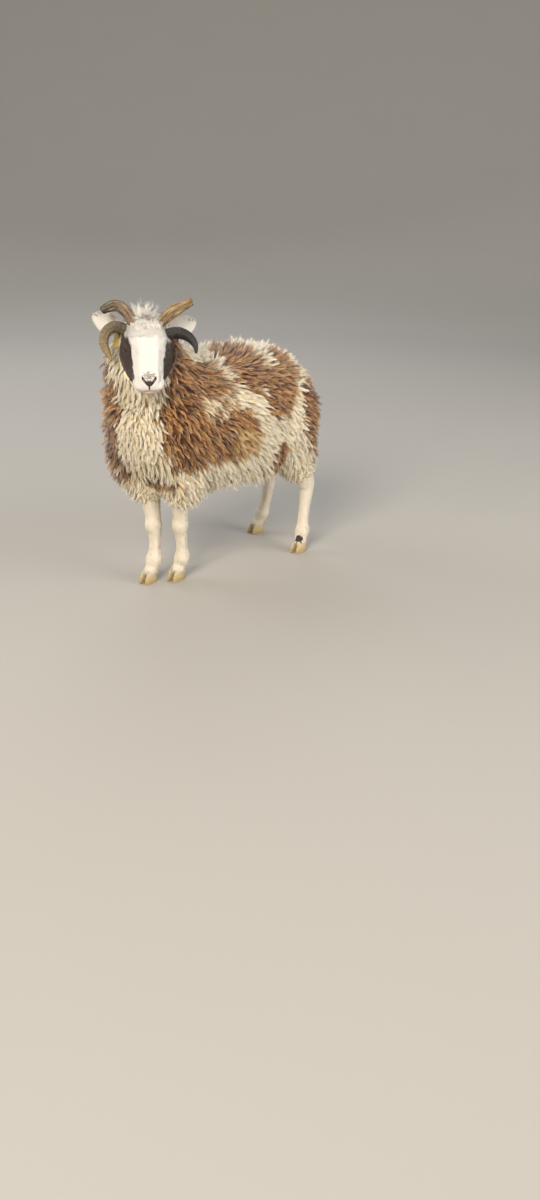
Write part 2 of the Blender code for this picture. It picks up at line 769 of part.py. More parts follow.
def topknot():
    """The tuft of wool that stands up between the horns."""
    chance = random.Random(SEED + 1)
    made = []
    for row, (along, lean) in enumerate(((-0.002, -0.30), (0.014, 0.15), (0.032, 0.60))):
        for step in (-0.5, 0.5) if row == 1 else (-1, 0, 1):
            root = on_head(along, step * 0.014, -0.006)
            outward = (Vector((0, 0, 1)) + lean * FACING + 0.45 * step * FACE_LEFT).normalized()
            droop = 1.1 * lean * FACING + (0.9 * step + chance.uniform(-0.3, 0.3)) * FACE_LEFT
            length = TOPKNOT.length * chance.uniform(0.8, 1.1) * (0.75 if row == 2 else 1.0)
            path = [root + length * (outward * run + droop * run**2) for run in (0.0, 0.45, 0.80)]
            tip = root + length * (outward * 0.88 + droop * 1.05)
            widths = [TOPKNOT.width * share for share in (0.9, 1.0, 0.7)]
            thicknesses = [TOPKNOT.thickness * share for share in (0.9, 1.0, 0.7)]
            made.append(lock_object(path, FACE_LEFT, widths, thicknesses, tip))
    return made


def horn(name, grow=0.0):
    """A ridged horn swept along its line, or its socket in the head when it is grown a little."""
    shape = HORNS[name]
    outward = 1 if shape.root[1] > 0 else -1
    root = on_head(*shape.root)
    line = [root + from_head(outward * out, up, forward) for out, up, forward in shape.steps]
    count = shape.rings * 2
    centres = [Vector(spline(line, at)) for at in shares(count)]
    radii = [spline([(r,) for r in shape.radii], at)[0] for at in shares(count)]
    tip = centres[-1] + 0.5 * radii[-1] * (centres[-1] - centres[-2]).normalized()
    rings = []
    for i, (centre, radius) in enumerate(zip(centres, radii)):
        along = (centres[min(i + 1, count)] - centres[max(i - 1, 0)]).normalized()
        across = (FACE_UP - FACE_UP.dot(along) * along).normalized()
        wide = radius * (1.0 + 0.045 * (-1) ** i) + grow
        if i == 0:
            centre = centre - grow * along
        rings.append(oval(centre, across, along.cross(across), wide, wide * shape.flatness, HORN_SIDES))
    return closed_object(name, rings, None, tip)


def ear(name, grow=0.0):
    """A leaf-shaped ear with its cup to the front, or its socket when it is grown a little."""
    place, steps = EARS[name]
    outward = 1 if place[1] > 0 else -1
    along = from_head(outward * steps[0], steps[1], steps[2]).normalized()
    root = on_head(*place)
    broad = (Vector((0, 0, 1)) - along.z * along).normalized()
    front = along.cross(broad)
    if front.dot(FACING) < 0:
        front = -front
    rings = []
    for share in shares(7):
        width = EAR_HALF_WIDTH * (0.42 + 1.9 * share - 2.15 * share**3) + 0.001
        width = max(width, 0.004) + grow
        cup = 0.55 * width * (1 - 0.4 * share)
        thick = EAR_THICKNESS + 0.006 * (1 - share) ** 3 + 2 * grow
        centre = root + along * (EAR_LENGTH * share + (grow if share > 0.5 else -grow))
        faces = []
        for side, order in ((0.5, (-1, -0.5, 0, 0.5, 1)), (-0.5, (1, 0.5, 0, -0.5, -1))):
            for turn in order:
                inset = width * turn * (1.0 if side > 0 else 1.04)
                faces.append(centre + broad * inset + front * (cup * turn**2 + side * thick))
        rings.append(faces)
    return closed_object(name, rings)


def make_head():
    """The head with its lids, mouth, nostrils and topknot, and the pieces that are set in it."""
    sides = {"left": 1, "right": -1}
    pieces = [ball(f"eye_{name}", eye_frame(side)[0], EYE_RADIUS) for name, side in sides.items()]
    pieces += [horn(name) for name in HORNS]
    pieces += [ear(name) for name in EARS]
    pieces.append(boolean(ear_tag(), "DIFFERENCE", [ear("ear_right", GAP)]))
    head = head_body()
    grooves = [mouth_line(head), nostril(1), nostril(-1)]
    lids = [ball("lid", eye_frame(side)[0], EYE_RADIUS + LID_THICKNESS) for side in (1, -1)]
    boolean(head, "UNION", lids + topknot())
    sockets = [ball("socket", eye_frame(side)[0], EYE_RADIUS + SOCKET_GAP) for side in (1, -1)]
    sockets += [horn(name, SOCKET_GAP) for name in HORNS]
    sockets += [ear(name, SOCKET_GAP) for name in EARS]
    boolean(head, "DIFFERENCE", grooves + [eye_opening(1), eye_opening(-1)] + sockets)
    return head, pieces


def ear_tag(grow=0.0):
    """A blank plastic tag that hangs at the lower edge of the right ear: a flag under a round stud."""
    place, steps = EARS["ear_right"]
    along = from_head(-steps[0], steps[1], steps[2]).normalized()
    top = on_head(*place) + along * TAG_PLACE * EAR_LENGTH + FACING * 0.012
    top.z -= EAR_HALF_WIDTH - 0.002
    narrow, broad, drop, thick = TAG_SIZE
    front = (FACING + 0.35 * FACE_LEFT).normalized()
    side = Vector((0, 0, 1)).cross(front)
    outline = ((-narrow / 2, 0.006), (narrow / 2, 0.006), (broad / 2, -drop), (-broad / 2, -drop - 0.004))
    rings = []
    for depth in (-thick / 2 - grow, thick / 2 + grow):
        ring = []
        for across, up in outline:
            reach = Vector((across + math.copysign(grow, across), up + math.copysign(grow, up)))
            ring.append(top + side * reach.x + Vector((0, 0, reach.y)) + front * depth)
        rings.append(ring)
    flag = closed_object("ear_tag", rings)
    stud_rings = []
    wide = STUD_RADIUS + grow
    for depth in (-STUD_LENGTH / 2 - grow, STUD_LENGTH / 2 + grow):
        stud_rings.append(oval(top + front * depth, side, Vector((0, 0, 1)), wide, wide, 8))
    return boolean(flag, "UNION", [closed_object("stud", stud_rings)])


# Assembly


def tail_block(grow=0.0):
    """The upright block of space, tilted a little, that holds the tail."""
    width, depth, height = (length + 2 * grow for length in TAIL_BLOCK)
    bm = bmesh.new()
    bmesh.ops.create_cube(bm, size=1.0)
    bmesh.ops.scale(bm, vec=(width, depth, height), verts=bm.verts)
    tilt = Matrix.Rotation(math.radians(6), 4, "X")
    bm.transform(Matrix.Translation((0, 0.360 + TAIL_BLOCK[1] / 2, 0.480)) @ tilt)
    mesh = bpy.data.meshes.new("block")
    bm.to_mesh(mesh)
    bm.free()
    return bpy.data.objects.new("block", mesh)


def part_body(body):
    """The woolly body parted into neck, shoulders, barrel, rump, thighs and tail."""
    tail = boolean(copy_of(body, "tail"), "INTERSECT", [tail_block()])
    boolean(body, "DIFFERENCE", [tail_block(GAP)])
    neck = split(body, "neck", (0.016, -0.250, 0.660), (0.20, -0.55, 0.81))
    rear = split(body, "barrel", (0, -0.100, 0), (0, 1, 0))
    body.name = "shoulders"
    rump = split(rear, "rump", (0, 0.130, 0), (0, 1, 0))
    left = split(rump, "thigh_left", (0, 0, 0.430), (0, 0, -1))
    right = split(left, "thigh_right", (0, 0, 0), (-1, 0, 0))
    return [neck, body, rear, rump, tail, left, right]


def make_sheep():
    head, head_pieces = make_head()
    feet_and_legs = make_feet_and_legs()
    body = fleece()
    behind_head = POLL - 0.010 * FACE_ALONG
    square_to_neck = (0.12 * FACE_ALONG + 0.085 * FACE_UP).normalized()
    boolean(head, "DIFFERENCE", [block_behind(behind_head, square_to_neck)])
    hollow_back = block_behind(behind_head - square_to_neck * GAP, square_to_neck)
    clear = [boolean(head_body(SOCKET_GAP), "DIFFERENCE", [hollow_back])]
    clear += [leg_tube(name, GAP) for name in LEGS]
    clear += [horn(name, SOCKET_GAP) for name in HORNS]
    clear += [ear(name, SOCKET_GAP) for name in EARS]
    clear.append(ear_tag(GAP))
    boolean(body, "DIFFERENCE", clear)
    return part_body(body) + [head] + head_pieces + feet_and_legs


def finish_of(name, finishes):
    for part, finish in finishes.items():
        if name.startswith(part):
            return finish
    return finishes["shoulders"]


def main():
    clear_scene()
    nodes = make_sheep()
    corners = [vertex.co for obj in nodes for vertex in obj.data.vertices]
    low, high = (Vector([pick(c[i] for c in corners) for i in range(3)]) for pick in (min, max))
    centring = Matrix.Translation((-(low.x + high.x) / 2, -(low.y + high.y) / 2, -low.z))
    finishes = {
        "shoulders": material("fleece", (0.66, 0.50, 0.30), 0.95),
        "tail": material("fleece_brown", (0.24, 0.10, 0.04), 0.95),
        "head": material("face_hair", (0.80, 0.75, 0.66), 0.85),
        "ear_tag": material("tag_plastic", (0.80, 0.62, 0.20), 0.45),
        "ear": material("ear_hair", (0.72, 0.66, 0.58), 0.85),
        "leg": material("leg_hair", (0.78, 0.68, 0.52), 0.85),
        "hoof": material("hoof_horn", (0.52, 0.38, 0.17), 0.55),
        "horn_side_left": material("horn_black", (0.03, 0.025, 0.025), 0.45),
        "horn": material("horn_tan", (0.32, 0.22, 0.12), 0.60),
        "eye": material("eye", (0.05, 0.03, 0.015), 0.15),
    }
    for obj in nodes:
        if obj.name not in bpy.context.scene.collection.objects:
            bpy.context.scene.collection.objects.link(obj)
        keep_largest(obj)
        obj.data.transform(centring)
        obj.data.materials.clear()
        obj.data.materials.append(finish_of(obj.name, finishes))
        obj.data.shade_smooth()
        obj.data.set_sharp_from_angle(angle=math.radians(40))


main()
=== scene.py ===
"""A Jacob ewe at life size, as a still museum model: skin, fleece in locks, horns, hooves, eyes and a tag.

The sheep's own frame has its feet round the origin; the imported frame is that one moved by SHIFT. Forward
along the body is -Y, the sheep's left is +X and up is +Z. Lengths are in metres.
"""

import logging
import math
from dataclasses import dataclass, field
from enum import Enum

import bpy
import numpy as np
from mathutils import Matrix, Vector
from mathutils.bvhtree import BVHTree
from mathutils.kdtree import KDTree


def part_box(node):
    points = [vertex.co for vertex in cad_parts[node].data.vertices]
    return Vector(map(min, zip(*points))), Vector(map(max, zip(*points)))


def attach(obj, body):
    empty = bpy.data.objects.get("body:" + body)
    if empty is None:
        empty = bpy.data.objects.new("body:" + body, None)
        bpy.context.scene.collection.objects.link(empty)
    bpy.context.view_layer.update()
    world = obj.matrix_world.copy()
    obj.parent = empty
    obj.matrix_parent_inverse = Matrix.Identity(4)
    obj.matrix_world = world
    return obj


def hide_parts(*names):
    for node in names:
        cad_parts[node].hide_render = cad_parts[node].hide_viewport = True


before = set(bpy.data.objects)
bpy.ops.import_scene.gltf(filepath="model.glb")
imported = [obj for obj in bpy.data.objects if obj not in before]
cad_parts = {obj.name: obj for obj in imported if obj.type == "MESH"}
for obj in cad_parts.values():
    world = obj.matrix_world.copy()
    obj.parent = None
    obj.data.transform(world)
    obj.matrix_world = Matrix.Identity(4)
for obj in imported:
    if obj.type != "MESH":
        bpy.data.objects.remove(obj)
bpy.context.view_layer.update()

log = logging.getLogger("sheep")
Array = np.ndarray
UP = np.array((0.0, 0.0, 1.0))


# Small mathematics


def unit(vectors: Array) -> Array:
    """Vectors of length one, along the last axis."""
    return vectors / np.maximum(np.linalg.norm(vectors, axis=-1, keepdims=True), 1e-12)


def smooth_step(low: float, high: float, value: Array) -> Array:
    """A soft step from 0 below low to 1 above high."""
    share = np.clip((value - low) / (high - low), 0.0, 1.0)
    return share * share * (3 - 2 * share)


def curve(values: object, at: Array) -> Array:
    """Reads the Catmull-Rom curve through rows of numbers.

    Args:
        values: The rows that the curve passes through.
        at: Shares from 0 to 1 of the run.

    Returns:
        One row for each share.
    """
    rows = np.asarray(values, float)
    place = np.clip(at, 0.0, 1.0) * (len(rows) - 1)
    i = np.minimum(place.astype(int), len(rows) - 2)
    f = (place - i)[:, None]
    a, b, c, d = (rows[np.clip(i + k, 0, len(rows) - 1)] for k in (-1, 0, 1, 2))
    return 0.5 * (2 * b + (c - a) * f + (2 * a - 5 * b + 4 * c - d) * f**2 + (3 * b - a - 3 * c + d) * f**3)


def ripple(points: Array, size: float, seed: int = 0) -> Array:
    """Soft unevenness from -1 to 1, from a few crossing waves.

    Args:
        points: Where to read it.
        size: The rough distance between its bumps.
        seed: Picks the waves.

    Returns:
        One number for each point.
    """
    chance = np.random.default_rng(100 + seed)
    total = np.zeros(len(points))
    for octave in (1.0, 1.0, 1.9, 1.9, 3.7, 3.7):
        direction = unit(chance.normal(size=3)) * 2 * math.pi * octave / size
        bend = unit(chance.normal(size=3)) * 2 * math.pi * octave * 0.6 / size
        wave = np.sin(points @ direction + 1.6 * np.sin(points @ bend + chance.uniform(0, 6)))
        total += wave / octave
    return np.clip(total / 2.4, -1.0, 1.0)


# Frames of reference


@dataclass(frozen=True)
class Head:
    """How the head is held, and what turns places on it into places in the sheep's own frame."""

    yaw: float = math.radians(57)
    slope: float = math.radians(49)
    poll: tuple = (0.086, -0.357, 0.8775)
    eye_radius: float = 0.0135
    eye_place: tuple = (0.099, 0.0535, -0.034)
    lean: float = 0.004

    @property
    def facing(self) -> Array:
        """The level direction that the face looks in."""
        return np.array((math.sin(self.yaw), -math.cos(self.yaw), 0.0))

    @property
    def left(self) -> Array:
        """The head's own left."""
        return np.array((math.cos(self.yaw), math.sin(self.yaw), 0.0))

    @property
    def axes(self) -> Array:
        """Rows: down the face, to the left, and up from the line of the face."""
        c, s = math.cos(self.slope), math.sin(self.slope)
        return np.stack((c * self.facing - s * UP, self.left, s * self.facing + c * UP))

    def place(self, on_head: object) -> Array:
        """Points given down the face, to the left and above its line, in the sheep's own frame."""
        local = np.array(on_head, float)
        local[..., 1] -= self.lean * smooth_step(0.12, 0.21, local[..., 0])
        return np.array(self.poll) + local @ self.axes

    def coordinates(self, points: Array) -> Array:
        """Points of the sheep's own frame, given down the face, to the left and above its line."""
        local = (points - np.array(self.poll)) @ self.axes.T
        local[..., 1] += self.lean * smooth_step(0.12, 0.21, local[..., 0])
        return local

    def direction(self, outward: float, up: float, forward: float) -> Array:
        """A direction given to the head's left, up and the way it faces."""
        return outward * self.left + up * UP + forward * self.facing

    def eye_frame(self, side: int) -> tuple:
        """An eye's centre, the way it looks, and the line and height of its opening."""
        down, out, above = self.eye_place
        gaze = unit(side * 0.93 * self.left + 0.34 * self.facing + 0.08 * UP)
        line = self.axes[0] + 0.5 * self.facing
        line = unit(line - line @ gaze * gaze)
        return self.place((down, side * out, above)), gaze, line, np.cross(gaze, line)


HEAD = Head()
EYE_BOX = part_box("eye_left")
SHIFT = (np.array(EYE_BOX[0]) + np.array(EYE_BOX[1])) / 2 - HEAD.eye_frame(1)[0]
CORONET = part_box("hoof_front_left_claw_left")[1].z


# Mesh tools


def deselect_all() -> None:
    """Leaves nothing selected, so that an operator acts only on what is picked next."""
    bpy.ops.object.select_all(action="DESELECT")


def pick(obj: bpy.types.Object) -> bpy.types.Object:
    """Makes an object the only selected and the active one."""
    deselect_all()
    obj.select_set(True)
    bpy.context.view_layer.objects.active = obj
    return obj


def turned_out(points: Array, triangles: Array) -> Array:
    """The triangles of a closed surface, turned outward."""
    corners = points[triangles]
    volume = np.einsum("ij,ij->i", corners[:, 0], np.cross(corners[:, 1], corners[:, 2])).sum()
    return triangles[:, ::-1] if volume < 0 else triangles


def modified(obj: bpy.types.Object, kind: str, **settings: object) -> bpy.types.Object:
    """Applies one modifier with its settings to an object."""
    modifier = pick(obj).modifiers.new(kind.lower(), kind)
    for name, value in settings.items():
        setattr(modifier, name, value)
    bpy.ops.object.modifier_apply(modifier=modifier.name)
    return obj


def mesh_object(name: str, points: Array, triangles: Array, normals: Array | None = None) -> bpy.types.Object:
    """Makes a smooth-shaded object from arrays, with its faces turned outward.

    Args:
        name: The object's name.
        points: One row of three numbers for each point.
        triangles: One row of three point numbers for each face of closed surfaces.
        normals: The directions the points are shaded by, or None for the surface's own.

    Returns:
        The new object, linked to the scene.
    """
    triangles = turned_out(points, triangles)
    mesh = bpy.data.meshes.new(name)
    mesh.vertices.add(len(points))
    mesh.vertices.foreach_set("co", points.astype(np.float32).ravel())
    mesh.loops.add(triangles.size)
    mesh.loops.foreach_set("vertex_index", triangles.astype(np.int32).ravel())
    mesh.polygons.add(len(triangles))
    mesh.polygons.foreach_set("loop_start", np.arange(0, triangles.size, 3, dtype=np.int32))
    mesh.update(calc_edges=True)
    mesh.shade_smooth()
    if normals is not None:
        mesh.normals_split_custom_set_from_vertices(normals.astype(np.float32))
    obj = bpy.data.objects.new(name, mesh)
    bpy.context.scene.collection.objects.link(obj)
    return obj


def points_of(obj: bpy.types.Object, what: str = "co") -> Array:
    """The places, or the normals, of an object's points as an array."""
    found = np.empty(len(obj.data.vertices) * 3, np.float32)
    obj.data.vertices.foreach_get(what, found)
    return found.reshape(-1, 3).astype(float)


def set_points(obj: bpy.types.Object, points: Array) -> None:
    """Moves an object's points."""
    obj.data.vertices.foreach_set("co", points.astype(np.float32).ravel())
    obj.data.update()


def triangles_of(obj: bpy.types.Object) -> Array:
    """The point numbers of an object's triangles."""
    obj.data.calc_loop_triangles()
    found = np.empty(len(obj.data.loop_triangles) * 3, np.int32)
    obj.data.loop_triangles.foreach_get("vertices", found)
    return found.reshape(-1, 3)


def store(obj: bpy.types.Object, name: str, values: Array) -> None:
    """Keeps one number, or three numbers as a vector, for each point, for the materials to read."""
    kind, key = ("FLOAT", "value") if values.ndim == 1 else ("FLOAT_VECTOR", "vector")
    attribute = obj.data.attributes.new(name, kind, "POINT")
    attribute.data.foreach_set(key, values.astype(np.float32).ravel())


def loft(rings: Array, first: Array | None = None, last: Array | None = None) -> tuple[Array, Array]:
    """Skins closed rings, with a fan to a tip, or to the ring's middle, at each end.

    Args:
        rings: Rings by points by three numbers.
        first: The tip before the first ring, or None for its middle.
        last: The tip after the last ring, or None for its middle.

    Returns:
        The points and the triangles of a closed surface.
    """
    count, sides = rings.shape[:2]
    first = rings[0].mean(0) if first is None else first
    last = rings[-1].mean(0) if last is None else last
    points = np.concatenate((rings.reshape(-1, 3), first[None], last[None]))
    here = np.arange(sides)
    there = (here + 1) % sides
    start = np.arange(count - 1)[:, None] * sides
    a, b = (start + here).ravel(), (start + there).ravel()
    walls = np.concatenate((np.stack((a, b, b + sides), 1), np.stack((a, b + sides, a + sides), 1)))
    end = (count - 1) * sides
    low = np.stack((there, here, np.full(sides, count * sides)), 1)
    high = np.stack((end + here, end + there, np.full(sides, count * sides + 1)), 1)
    return points, np.concatenate((walls, low, high))


def ovals(
    centres: Array, side: Array, up: Array, wide: Array, deep: Array, sides: int, squareness: float
) -> Array:
    """Rings of points on superellipses about a line of centres."""
    angle = 2 * math.pi * np.arange(sides) / sides
    c, s = np.cos(angle), np.sin(angle)
    across = np.sign(c) * np.abs(c) ** (2 / squareness)
    upward = np.sign(s) * np.abs(s) ** (2 / squareness)
    reach = wide[:, None, None] * across[None, :, None] * side[:, None]
    return centres[:, None] + reach + deep[:, None, None] * upward[None, :, None] * up[:, None]


def boolean(obj: bpy.types.Object, operation: str, others: list) -> bpy.types.Object:
    """Joins an object with others, or cuts it by them, and removes the others.

    Args:
        obj: The object that is changed.
        operation: UNION or DIFFERENCE.
        others: Closed objects.

    Returns:
        The changed object.
    """
    for other in others:
        modified(obj, "BOOLEAN", operation=operation, object=other, solver="MANIFOLD")
        bpy.data.objects.remove(other)
    return obj


@dataclass(frozen=True)
class Swell:
    """A soft rise, or with a negative height a hollow, about a place on the surface."""

    at: tuple
    reach: tuple
    height: float


def swollen(places: Array, swells: tuple) -> Array:
    """How far each place moves outward for a number of swells, which come in pairs, left and right."""
    total = np.zeros(len(places))
    for swell in swells:
        for side in (1, -1) if swell.at[1] > 1e-6 else (1,):
            away = (places - np.array(swell.at) * (1, side, 1)) / np.array(swell.reach)
            total += swell.height * np.exp(-(away**2).sum(1))
    return total


# Materials


def linear(colour: str) -> tuple:
    """An sRGB hex value as linear red, green, blue and an alpha of one."""
    shares = (int(colour[i : i + 2], 16) / 255 for i in (0, 2, 4))
    return (*(c / 12.92 if c <= 0.04045 else ((c + 0.055) / 1.055) ** 2.4 for c in shares), 1.0)


def add_node(
    tree: bpy.types.NodeTree,
    kind: str,
    inputs: dict | None = None,
    stops: tuple = (),
    **settings: object,
) -> bpy.types.Node:
    """Adds one node to a material.

    Args:
        tree: The material's node tree.
        kind: The node's type, without its ShaderNode prefix.
        inputs: A value, or another node's output, for each input by name or number.
        stops: Places and sRGB hex colours, for a colour ramp.
        settings: The node's own settings.

    Returns:
        The new node.
    """
    node = tree.nodes.new("ShaderNode" + kind)
    for name, value in settings.items():
        setattr(node, name, value)
    for key, value in (inputs or {}).items():
        if isinstance(value, bpy.types.NodeSocket):
            tree.links.new(value, node.inputs[key])
        else:
            node.inputs[key].default_value = value
    for i, (place, colour) in enumerate(stops):
        stop = node.color_ramp.elements[i] if i < 2 else node.color_ramp.elements.new(place)
        stop.position = place
        stop.color = linear(colour)
    return node


@dataclass(frozen=True)
class Finish:
    """A surface's own name and the values that are alike all over it."""

    name: str
    roughness: float = 0.8
    ior: float = 1.5
    sheen: float = 0.0
    coat: float = 0.0

    def colour(self, tree: bpy.types.NodeTree) -> bpy.types.NodeSocket:
        """The output that holds the surface's colour."""
        raise NotImplementedError

    def relief(self, tree: bpy.types.NodeTree) -> bpy.types.NodeSocket | None:
        """The output that holds the surface's normal, if it has relief."""
        return None

    def make(self) -> bpy.types.Material:
        """Builds the material."""
        made = bpy.data.materials.new(self.name)
        made.use_nodes = True
        tree = made.node_tree
        shader = tree.nodes["Principled BSDF"]
        sockets = ("Roughness", "IOR", "Sheen Weight", "Coat Weight")
        for socket, value in zip(sockets, (self.roughness, self.ior, self.sheen, self.coat)):
            shader.inputs[socket].default_value = value
        tree.links.new(self.colour(tree), shader.inputs["Base Color"])
        normal = self.relief(tree)
        if normal is not None:
            tree.links.new(normal, shader.inputs["Normal"])
        return made


def attribute(tree: bpy.types.NodeTree, name: str, output: str = "Vector") -> bpy.types.NodeSocket:
    """The output with the values that are stored on the surface's points under a name."""
    return add_node(tree, "Attribute", attribute_name=name).outputs[output]


def split(tree: bpy.types.NodeTree, vector: bpy.types.NodeSocket) -> tuple:
    """The three outputs of a vector's parts."""
    return tuple(add_node(tree, "SeparateXYZ", {0: vector}).outputs)


def noise(tree: bpy.types.NodeTree, millimetres: float, detail: float = 2.0) -> bpy.types.NodeSocket:
    """The output of a noise whose bumps are this far apart."""
    return add_node(tree, "TexNoise", {"Scale": 1000.0 / millimetres, "Detail": detail}).outputs["Fac"]


def worked(tree: bpy.types.NodeTree, operation: str, *values: object) -> bpy.types.NodeSocket:
    """The output of one step of arithmetic."""
    return add_node(tree, "Math", dict(enumerate(values)), operation=operation).outputs[0]


def ranged(tree: bpy.types.NodeTree, value: object, *limits: float, **settings: object) -> object:
    """The output of a value brought from one range, low and high, to another, 0 to 1 if not given."""
    return add_node(tree, "MapRange", {0: value, **dict(enumerate(limits, 1))}, **settings).outputs[0]


def mixed(
    tree: bpy.types.NodeTree, share: object, first: object, second: object, blend: str = "MIX"
) -> bpy.types.NodeSocket:
    """The colour output of two colours blended by a share."""
    inputs = {0: share, 6: first, 7: second}
    return add_node(tree, "Mix", inputs, data_type="RGBA", blend_type=blend).outputs[2]


def bumped(tree: bpy.types.NodeTree, height: object, depth: float, strength: float = 1.0) -> object:
    """The normal output of a bump of this depth in metres."""
    return add_node(tree, "Bump", {"Height": height, "Distance": depth, "Strength": strength}).outputs[0]


@dataclass(frozen=True)
class Wool(Finish):
    """Raw fleece in grease: pale cream or warm brown locks, bleached at the tip and darker at the root, where the
    darkening is painted shade deep in the fleece.
    """

    cream: tuple = ("EEDAAE", "F6E6C2", "FCF1D8", "FFFAEE")
    brown: tuple = ("321808", "6A3B18", "98602C", "D4A05A")
    ochre: str = "CDA254"
    levels: tuple = (0.0, 0.30, 0.62, 1.0)
    grain: float = 0.5
    tip_bleach_and_root_shade: float = 0.55
    depth: float = 0.30

    def colour(self, tree: bpy.types.NodeTree) -> bpy.types.NodeSocket:
        """Cream and brown, each in its own range of tones, mixed lock by lock, lighter toward the tip by real
        bleaching and darker at the root by painted shade.
        """
        brown, tone, along = split(tree, attribute(tree, "lock"))
        uneven = worked(tree, "MULTIPLY_ADD", noise(tree, 6.0), self.grain, tone)
        toned = worked(tree, "SUBTRACT", uneven, self.grain / 2)
        # Each lock's tone rises from root to tip: real bleaching at the tip, painted shade at the root.
        bleached_and_root_shaded = worked(tree, "MULTIPLY_ADD", along, self.tip_bleach_and_root_shade, toned)
        level = worked(tree, "SUBTRACT", bleached_and_root_shaded, self.depth)
        cream, dark = (
            add_node(tree, "ValToRGB", {0: level}, tuple(zip(self.levels, tones))).outputs[0]
            for tones in (self.cream, self.brown)
        )
        tinted = mixed(tree, attribute(tree, "ochre", "Fac"), cream, linear(self.ochre))
        return mixed(tree, brown, tinted, dark)

    def relief(self, tree: bpy.types.NodeTree) -> bpy.types.NodeSocket:
        """The crimp of the fibres, drawn coarser than real so that it shows."""
        return bumped(tree, noise(tree, 3.0, 3.0), 0.0012)


@dataclass(frozen=True)
class HairCoat(Finish):
    """Short flat hair over skin: white, near-black or brown by the markings, with a fine nap."""

    white: str = "D8D5D0"
    warm: str = "E2CDA4"
    grey: str = "8F8580"
    black: str = "35261F"
    brown: str = "7C4A28"
    pink: str = "CFA392"
    ragged: float = 0.7
    shades: tuple = (0.86, 1.06)

    def colour(self, tree: bpy.types.NodeTree) -> bpy.types.NodeSocket:
        """White hair with the markings laid over it, their edges broken by the nap."""
        black, grey, brown = split(tree, attribute(tree, "marks"))
        warm, pink, _ = split(tree, attribute(tree, "tints"))
        nap = noise(tree, 2.5, 3.0)
        broken = worked(tree, "SUBTRACT", nap, 0.5)
        colour = mixed(tree, warm, linear(self.white), linear(self.warm))
        colour = mixed(tree, pink, colour, linear(self.pink))
        for share, tone in ((grey, self.grey), (brown, self.brown), (black, self.black)):
            ragged = worked(tree, "MULTIPLY_ADD", broken, self.ragged, share)
            edge = ranged(tree, ragged, 0.40, 0.60, interpolation_type="SMOOTHSTEP")
            colour = mixed(tree, edge, colour, linear(tone))
        shade = ranged(tree, nap, 0.0, 1.0, *self.shades)
        shaded = add_node(tree, "CombineXYZ", {0: shade, 1: shade, 2: shade}).outputs[0]
        return mixed(tree, 1.0, colour, shaded, "MULTIPLY")

    def relief(self, tree: bpy.types.NodeTree) -> bpy.types.NodeSocket:
        """Hair a millimetre or two wide, drawn coarser than real so that it shows."""
        return bumped(tree, noise(tree, 2.0, 4.0), 0.0008)


@dataclass(frozen=True)
class Keratin(Finish):
    """Horn or hoof: hard growth in rings and long fibres, with a dull polish on what stands proud, and painted shade
    in the grooves between the rings and in the cracks.
    """

    root: str = "B79C78"
    middle: str = "7A6650"
    tip: str = "4A3E34"
    streak_and_groove_shade: str = "3A2E26"
    worn: str = "C8B28C"
    streaks: float = 0.35
    fibre: float = 4.0
    length: float = 2.0
    groove_shade: float = 0.6

    def colour(self, tree: bpy.types.NodeTree) -> bpy.types.NodeSocket:
        """Tones from root to tip, with darker fibres that run the length of the horn, and painted shade in its
        grooves and cracks.
        """
        grown = attribute(tree, "grown")
        along, _, ridge = split(tree, grown)
        stops = ((0.0, self.root), (0.45, self.middle), (1.0, self.tip))
        colour = add_node(tree, "ValToRGB", {0: along}, stops).outputs[0]
        fibres = self.fibres(tree, grown, (self.length, self.fibre, 0.3), 6.0, 5.0)
        dark = ranged(tree, fibres, 0.45, 0.75, 0.0, self.streaks)
        colour = mixed(tree, dark, colour, linear(self.streak_and_groove_shade))
        bright = ranged(tree, fibres, 0.48, 0.30, 0.0, self.streaks)
        colour = mixed(tree, bright, colour, linear(self.worn))
        # Painted shade: the dark tone is laid where the ridge value is low, in the grooves between growth rings and
        # in the cracks.
        groove_shade = ranged(tree, ridge, 0.0, 1.0, self.groove_shade, 0.0)
        return mixed(tree, groove_shade, colour, linear(self.streak_and_groove_shade))

    def fibres(
        self, tree: bpy.types.NodeTree, grown: object, stretch: tuple, scale: float, detail: float
    ) -> bpy.types.NodeSocket:
        """The output of a noise that is drawn out along the growth."""
        drawn = add_node(tree, "Mapping", {"Vector": grown, "Scale": stretch}).outputs[0]
        return add_node(tree, "TexNoise", {"Vector": drawn, "Scale": scale, "Detail": detail}).outputs["Fac"]

    def relief(self, tree: bpy.types.NodeTree) -> bpy.types.NodeSocket:
        """Fine fibres and chips."""
        fibres = self.fibres(tree, attribute(tree, "grown"), (8.0, self.fibre * 2, 1.0), 8.0, 6.0)
        return bumped(tree, fibres, 0.0012)


@dataclass(frozen=True)
class WetEye(Finish):
    """A living eye: amber iris, dark level slot of a pupil and a clear wet film over all."""

    iris: str = "5C3A17"
    rim: str = "1A0E08"
    pupil: str = "050404"
    iris_edge: tuple = (0.0082, 0.0100)
    pupil_edge: tuple = (0.0019, 0.0023)
    slot: float = 0.34

    def colour(self, tree: bpy.types.NodeTree) -> bpy.types.NodeSocket:
        """The iris round the pupil, and its dark rim, by their real sizes in the eye's own frame."""
        along, high, _ = split(tree, attribute(tree, "in_eye"))
        round_at = add_node(tree, "CombineXYZ", {0: along, 1: high}).outputs[0]
        radius = add_node(tree, "VectorMath", {0: round_at}, operation="LENGTH").outputs["Value"]
        slot_at = add_node(tree, "Mapping", {"Vector": round_at, "Scale": (self.slot, 1.0, 1.0)}).outputs[0]
        slot = add_node(tree, "VectorMath", {0: slot_at}, operation="LENGTH").outputs["Value"]
        colour = mixed(tree, noise(tree, 1.2, 3.0), linear(self.iris), linear(self.rim))
        edge = ranged(tree, radius, *self.iris_edge)
        colour = mixed(tree, edge, colour, linear(self.rim))
        inside = ranged(tree, slot, *self.pupil_edge, 1.0, 0.0)
        return mixed(tree, inside, colour, linear(self.pupil))


